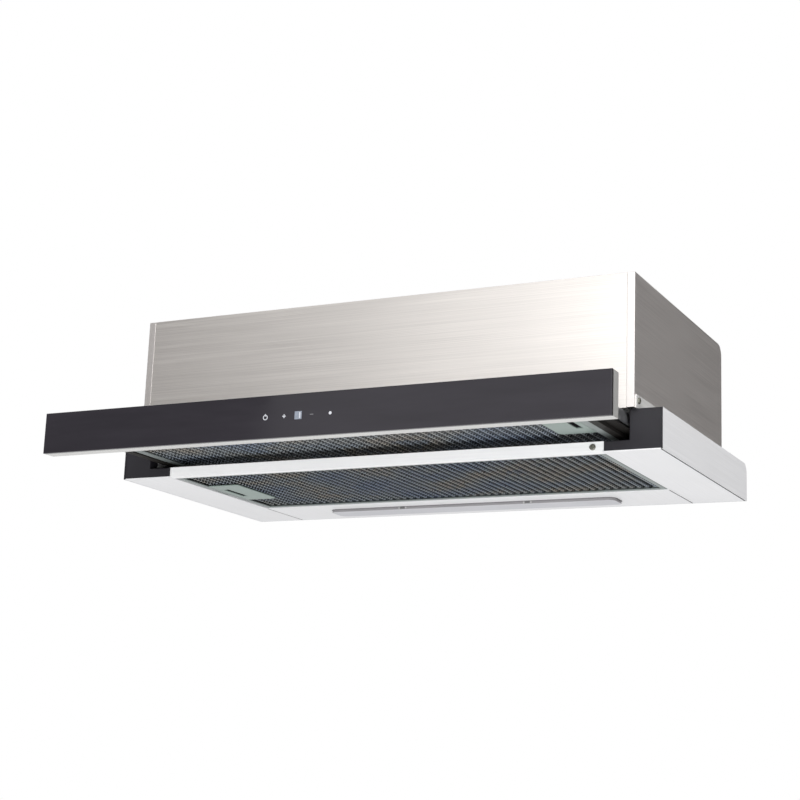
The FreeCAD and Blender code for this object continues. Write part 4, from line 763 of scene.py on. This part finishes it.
# %% Screws in their places
SIDES = (1, -1)
FIRST_TURN, NEXT_TURN = 0.3, 0.7
FACING = {
    "+x": Matrix.Rotation(math.radians(90), 4, "Y"), "-x": Matrix.Rotation(math.radians(-90), 4, "Y"),
    "-y": Matrix.Rotation(math.radians(90), 4, "X"), "+z": Matrix(),
}
SCREWS = {
    "rail_screw": ("hood", [((231.3, -283.5, 5.45), "-y")]),
    "flange_screws": ("hood", [((side * 276.0, y, 46.9), "+x" if side > 0 else "-x")
                               for side in SIDES for y in (-283.6, -150.3, -17.0)]),
    "cover_screws": ("hood", [((side * 267.0, y, 170.0), "+z")
                              for side in SIDES for y in (-273.0, -151.0, -29.0)]),
    "carrier_screws": ("drawer", [((side * 253.55, -408.5, 25.75), "-y") for side in SIDES]),
}
for node, (body, seats) in SCREWS.items():
    copies = []
    for number, (place, way) in enumerate(seats):
        turn = Matrix.Rotation(FIRST_TURN + NEXT_TURN * number, 4, "Z")
        copies.append(copy_of(pattern_screw, Vector(place) * MM, FACING[way] @ turn))
    group = join(f"{node}_detailed", copies)
    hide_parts(node)
    finish_piece(group, f"{node}_detailed", ZINC_SCREW, body)
bpy.data.objects.remove(pattern_screw)

# %% [markdown]
# Dark rubber seals fill the seams of the canopy, partly as painted shade for the shadow in them: a strip between each
# trim and its bottom strip, and a thinner one beside the lamp panel. A thin lip ends each corner cap, and a filler
# lies in each seam of the front panel. All are bevelled blocks at one side of the hood, so one table of millimetres
# gives
# them: the distances of the inner and outer face from the middle, then front and rear, then low and high.

# %% Seals, lips and seam fillers
# dark rubber, partly painted shade: the seals stand for the shadow in the seams
DARK_RUBBER_AND_SHADE = moulded("seal_rubber_painted_shade", (0.035, 0.035, 0.038), 0.60, 1600.0)
SEALS = {
    "trim": {"right": (298.1, 299.1, -284.6, -2.0, -0.35, -0.02),
             "left": (298.25, 298.95, -284.6, -2.0, 0.5, 5.0)},
    "panel": {"right": (240.95, 241.65, -82.3, -2.0, -0.35, -0.02),
              "left": (241.1, 241.5, -82.3, -2.0, -0.25, -0.02)},
}
CAP_LIP = (298.6, 300.0, -285.7, -285.02, 0.2, 39.4)
PANEL_SEAM = (267.12, 267.48, -292.85, -292.1, 40.0, 169.6)
SEAL_ROUND, LIP_ROUND, SEAM_ROUND = 0.1 * MM, 0.2 * MM, 0.05 * MM


def side_block(side, span, bevel, segments=2):
    """A bevelled block at one side of the hood."""
    inner, outer, front, rear, low, high = (v * MM for v in span)
    x0, x1 = sorted((side * inner, side * outer))
    return box_piece("side_block", (x0, front, low), (x1, rear, high), bevel, segments)


for side, name in zip(SIDES, ("right", "left")):
    for label, spans in SEALS.items():
        seal = side_block(side, spans[name], SEAL_ROUND)
        finish_piece(seal, f"{label}_seal_{name}", DARK_RUBBER_AND_SHADE, "hood")
    finish_piece(side_block(side, CAP_LIP, LIP_ROUND), f"cap_lip_{name}", CAP_BLACK, "hood")
    seam = side_block(side, PANEL_SEAM, SEAM_ROUND, segments=1)
    finish_piece(seam, f"panel_seam_{name}", STEEL_FRONT, "hood")

# %% [markdown]
# The gasket round the lens is a rounded frame, and its dark rubber is partly painted shade for the gap round the
# lens:
# a plane whose corners are bevelled, then inset so that the middle can be taken out, and given some thickness.

# %% Lens gasket
LENS_X, LENS_FRONT, LENS_REAR, LENS_CORNER = 172.1 * MM, -58.6 * MM, -27.4 * MM, 7.6 * MM
GASKET, GASKET_OVERLAP, GASKET_DEPTH, GASKET_LEVEL = 0.7 * MM, 0.05 * MM, 0.25 * MM, -0.02 * MM
clear_selection()
bpy.ops.mesh.primitive_plane_add(size=1.0, location=(0, (LENS_FRONT + LENS_REAR) / 2, GASKET_LEVEL))
gasket = active()
gasket.scale = (2 * (LENS_X + GASKET), LENS_REAR - LENS_FRONT + 2 * GASKET, 1.0)
apply_place(gasket)
edit_all(gasket)
bpy.ops.mesh.bevel(offset=LENS_CORNER + GASKET, segments=8, affect="VERTICES")
bpy.ops.mesh.select_all(action="SELECT")
bpy.ops.mesh.inset(thickness=GASKET - GASKET_OVERLAP)
bpy.ops.mesh.delete(type="FACE")
leave_edit()
apply_modifier(gasket, "SOLIDIFY", thickness=GASKET_DEPTH, offset=-1.0)
# dark rubber, partly painted shade: it stands for the shadow in the gap round the lens
finish_piece(gasket, "lens_gasket", DARK_RUBBER_AND_SHADE, "hood")

# %% [markdown]
# Two clips hold the lens at its front edge. Each shows as a grey block with a pale end at both sides.

# %% Lens clips
CLIP_GREY = moulded("clip_grey", (0.12, 0.12, 0.12), 0.42, 1600.0)
CLIP_WHITE = moulded("clip_white", (0.45, 0.45, 0.45), 0.42, 1600.0)
CLIP_PLACES = (-79.0 * MM, 73.0 * MM)
CLIP_HALF, CLIP_LOW, CLIP_HIGH = 2.6 * MM, -2.4 * MM, -0.5 * MM
END_OFFSET, END_HALF, END_LOW, END_HIGH = 4.2 * MM, 0.8 * MM, -2.6 * MM, -0.4 * MM
CLIP_PROUD, CLIP_GAP, CLIP_ROUND = 0.35 * MM, 0.02 * MM, 0.12 * MM


def clip_block(x, half, low, high):
    """A small block before the lens's front wall."""
    return box_piece("clip", (x - half, LENS_FRONT - CLIP_PROUD, low), (x + half, LENS_FRONT - CLIP_GAP, high),
                     CLIP_ROUND)


clips = [clip_block(x, CLIP_HALF, CLIP_LOW, CLIP_HIGH) for x in CLIP_PLACES]
ends = [clip_block(x + offset, END_HALF, END_LOW, END_HIGH)
        for x in CLIP_PLACES for offset in (-END_OFFSET, END_OFFSET)]
finish_piece(join("lens_clips", clips), "lens_clips", CLIP_GREY, "hood")
finish_piece(join("lens_clip_ends", ends), "lens_clip_ends", CLIP_WHITE, "hood")

# %% [markdown]
# The top and the back of the hood are plain galvanised sheet, so they get what keeps such sheet stiff: pressed beads.
# A bead is half a capsule: a cylinder with rounded ends would be hard to select, so a sphere is cut in half with
# bisect, its two halves are pulled apart in edit mode, and it is squashed flat. The cut lies a little below the
# middle and is filled, so the bead's closed foot sinks into the sheet.

# %% Two pressed beads
BEAD_RADIUS, BEAD_HEIGHT, SUNK = 4.0 * MM, 1.3 * MM, 0.4 * MM
LONG_BEAD, SHORT_BEAD = 150 * MM, 90 * MM


def half_sphere(radius, segments, rings):
    """The upper half of a sphere with a closed foot, left in edit mode."""
    clear_selection()
    bpy.ops.mesh.primitive_uv_sphere_add(segments=segments, ring_count=rings, radius=radius)
    made = active()
    edit_all(made)
    bpy.ops.mesh.bisect(plane_co=(0, 0, -SUNK), plane_no=(0, 0, -1), clear_outer=True, use_fill=True)
    return made


def flatten(share):
    """Squashes the mesh that is being edited, shades it smooth and leaves edit mode."""
    bpy.ops.mesh.select_all(action="SELECT")
    bpy.ops.transform.resize(value=(1, 1, share), center_override=(0, 0, 0))
    bpy.ops.mesh.faces_shade_smooth()
    leave_edit()


def bead(length):
    """A pressed bead along X with its middle at the origin, standing up from z = 0."""
    made = half_sphere(BEAD_RADIUS, segments=24, rings=12)
    for way in SIDES:
        select_in_edit(made, "verts", lambda co: way * co.x > TINY)
        bpy.ops.transform.translate(value=(way * (length / 2 - BEAD_RADIUS), 0, 0))
    flatten(BEAD_HEIGHT / BEAD_RADIUS)
    return made


long_bead, short_bead = bead(LONG_BEAD), bead(SHORT_BEAD)
print("beads of", LONG_BEAD, "and", SHORT_BEAD, "metres")

# %% [markdown]
# Copies of the two beads are laid out on the sheet, the same on both sides: long ones across the top and the back,
# and short ones lengthwise beside the collar.

# %% Pressed beads of the cover
LONG_X, LONG_YS = 165 * MM, (-250 * MM, -225 * MM, -90 * MM)
SHORT_XS, SHORT_Y = (105 * MM, 130 * MM), -145 * MM
BACK_X, BACK_ZS = 155 * MM, (75 * MM, 100 * MM, 125 * MM)
TOP_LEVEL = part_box("top_and_back_cover")[1][2]
BACK_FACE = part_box("top_and_back_cover")[1][1]
TO_BACK = Matrix.Rotation(math.radians(-90), 4, "X")
LENGTHWISE = Matrix.Rotation(math.radians(90), 4, "Z")
beads = []
for side in SIDES:
    beads += [copy_of(long_bead, (side * LONG_X, y, TOP_LEVEL)) for y in LONG_YS]
    beads += [copy_of(short_bead, (side * x, SHORT_Y, TOP_LEVEL), LENGTHWISE) for x in SHORT_XS]
    beads += [copy_of(long_bead, (side * BACK_X, BACK_FACE, z), TO_BACK) for z in BACK_ZS]
for pattern in (long_bead, short_bead):
    bpy.data.objects.remove(pattern)
finish_piece(join("cover_beads", beads), "cover_beads", STEEL_COVER, "hood")

# %% [markdown]
# A blank rating plate sits on the back, held by four small rivets. The plate is a bevelled block, and a rivet's
# head is half a sphere, cut with bisect and flattened.

# %% Rating plate and rivets
PLATE_ALU = brushed("blank_plate_aluminium", (0.72, 0.73, 0.74), 0.36, "x", streak=0.04)
PLATE_HALF_X, PLATE_HALF_Z, PLATE_Z = 42.0 * MM, 26.0 * MM, 105.0 * MM
PLATE_THICK, PLATE_ROUND = 0.8 * MM, 0.25 * MM
RIVET_RADIUS, RIVET_FLAT, RIVET_X, RIVET_Z = 2.0 * MM, 0.5, 37.0 * MM, 21.0 * MM
plate = box_piece("plate", (-PLATE_HALF_X, BACK_FACE, PLATE_Z - PLATE_HALF_Z),
                  (PLATE_HALF_X, BACK_FACE + PLATE_THICK, PLATE_Z + PLATE_HALF_Z), PLATE_ROUND)
finish_piece(plate, "rating_plate", PLATE_ALU, "hood")

rivet = half_sphere(RIVET_RADIUS, segments=20, rings=10)
flatten(RIVET_FLAT)
rivets = [copy_of(rivet, (x, BACK_FACE + PLATE_THICK, PLATE_Z + z), TO_BACK)
          for x in (-RIVET_X, RIVET_X) for z in (-RIVET_Z, RIVET_Z)]
bpy.data.objects.remove(rivet)
finish_piece(join("plate_rivets", rivets), "plate_rivets", ZINC_STRAP, "hood")

# %% [markdown]
# The stage is plain: a pale floor well below the hood, because the camera stands lower than the hood. Two grey cards
# that only reflections see give the brushed steel its slow change from grey to white, as in a studio.

# %% Floor and grey cards
FLOOR_SIZE, FLOOR_LEVEL, FLOOR_TONE = (9.0, 9.0), -1.2, 0.86


def stage_plane(name, size, place, facing, material):
    clear_selection()
    bpy.ops.mesh.primitive_plane_add(size=1.0, location=place)
    plane = active()
    plane.name = name
    plane.scale = (*size, 1.0)
    plane.rotation_euler = Vector(facing).to_track_quat("Z", "Y").to_euler()
    plane.data.materials.append(material)
    return plane


def grey_card(name, size, place, target, grey):
    """A card that only reflections see, facing its target, of one even grey that is a little warm."""
    material, tree, shader = start_finish(f"{name}_finish", 0.0)
    tree.nodes.remove(shader)
    glow = add_node(tree, "ShaderNodeEmission", Color=(grey, grey * 0.97, grey * 0.95, 1), Strength=1.0)
    tree.links.new(glow.outputs["Emission"], tree.nodes["Material Output"].inputs["Surface"])
    card = stage_plane(name, size, place, Vector(target) - Vector(place), material)
    for ray in ("camera", "diffuse", "transmission", "shadow", "volume_scatter"):
        setattr(card, f"visible_{ray}", False)


floor_finish, tree, shader = start_finish("studio_floor_finish", 0.0, Roughness=0.9)
floor_clouds = noise(tree, 0.8, detail=2.0)
feed(tree, shader, Base_Color=two_tone(tree, floor_clouds, (FLOOR_TONE,) * 3, change=0.02))
floor = stage_plane("studio_floor", FLOOR_SIZE, (0, 0, FLOOR_LEVEL), (0, 0, 1), floor_finish)
grey_card("left_card", size=(2.6, 2.4), place=(-2.2, -1.7, 0.6), target=(0.0, -0.29, 0.1), grey=0.20)
grey_card("rear_card", size=(2.6, 2.2), place=(1.1, 1.9, 0.6), target=(0.275, -0.15, 0.1), grey=0.14)
print("floor and cards ready")

# %% [markdown]
# Two soft lamps light the front and the right side. A low lamp stands in for the light that a bright floor throws up
# under the hood. Light linking keeps it off the floor itself, where it would leave a bright patch.

# %% Lamps
def soft_lamp(name, place, target, size, power):
    """A rectangular lamp that faces its target."""
    lamp = bpy.data.lights.new(name, "AREA")
    lamp.shape = "RECTANGLE"
    lamp.size, lamp.size_y = size
    lamp.energy = power
    holder = bpy.data.objects.new(name, lamp)
    holder.location = place
    holder.rotation_euler = (Vector(target) - Vector(place)).to_track_quat("-Z", "Y").to_euler()
    holder.visible_camera = False
    bpy.context.scene.collection.objects.link(holder)
    return holder


soft_lamp("key_lamp", place=(1.6, -1.4, 1.5), target=(0, -0.2, 0.05), size=(1.6, 1.2), power=16)
soft_lamp("front_lamp", place=(0.45, -1.85, 0.55), target=(0, -0.29, 0.1), size=(1.4, 1.3), power=8)
bounce = soft_lamp("floor_bounce", place=(0.3, -1.6, -0.95), target=(0, -0.28, 0), size=(2.0, 1.4), power=30)
bounce_links = bpy.data.collections.new("floor_bounce_links")
bounce_links.objects.link(floor)
bounce_links.collection_objects[0].light_linking.link_state = "EXCLUDE"
bounce.light_linking.receiver_collection = bounce_links
print("lamps:", [lamp.name for lamp in bpy.data.lights])

# %% [markdown]
# The surround is white for the camera and for reflections, and weaker as a light, so colours stay as written.

# %% White surround
SURROUND_LIGHT = 0.72
world = bpy.data.worlds.new("white_surround")
bpy.context.scene.world = world
world.use_nodes = True
tree = world.node_tree
tree.nodes.clear()
ray = add_node(tree, "ShaderNodeLightPath")
seen = add_node(tree, "ShaderNodeMath", {0: ray.outputs["Is Camera Ray"], 1: ray.outputs["Is Glossy Ray"]},
                operation="MAXIMUM")
seen = add_node(tree, "ShaderNodeMath", {0: seen.outputs[0], 1: ray.outputs["Is Transmission Ray"]},
                operation="MAXIMUM")
weak = add_node(tree, "ShaderNodeBackground", Color=(*WHITE, 1), Strength=SURROUND_LIGHT)
full = add_node(tree, "ShaderNodeBackground", Color=(*WHITE, 1), Strength=1.0)
mixed = add_node(tree, "ShaderNodeMixShader", {0: seen.outputs[0], 1: weak.outputs[0], 2: full.outputs[0]})
add_node(tree, "ShaderNodeOutputWorld", {"Surface": mixed.outputs[0]})
bpy.context.scene.view_settings.view_transform = "Standard"
print("surround ready, as a light", SURROUND_LIGHT)

# %% [markdown]
# The last step clears the selection. No new piece may make the hood larger.

# %% Finish
clear_selection()
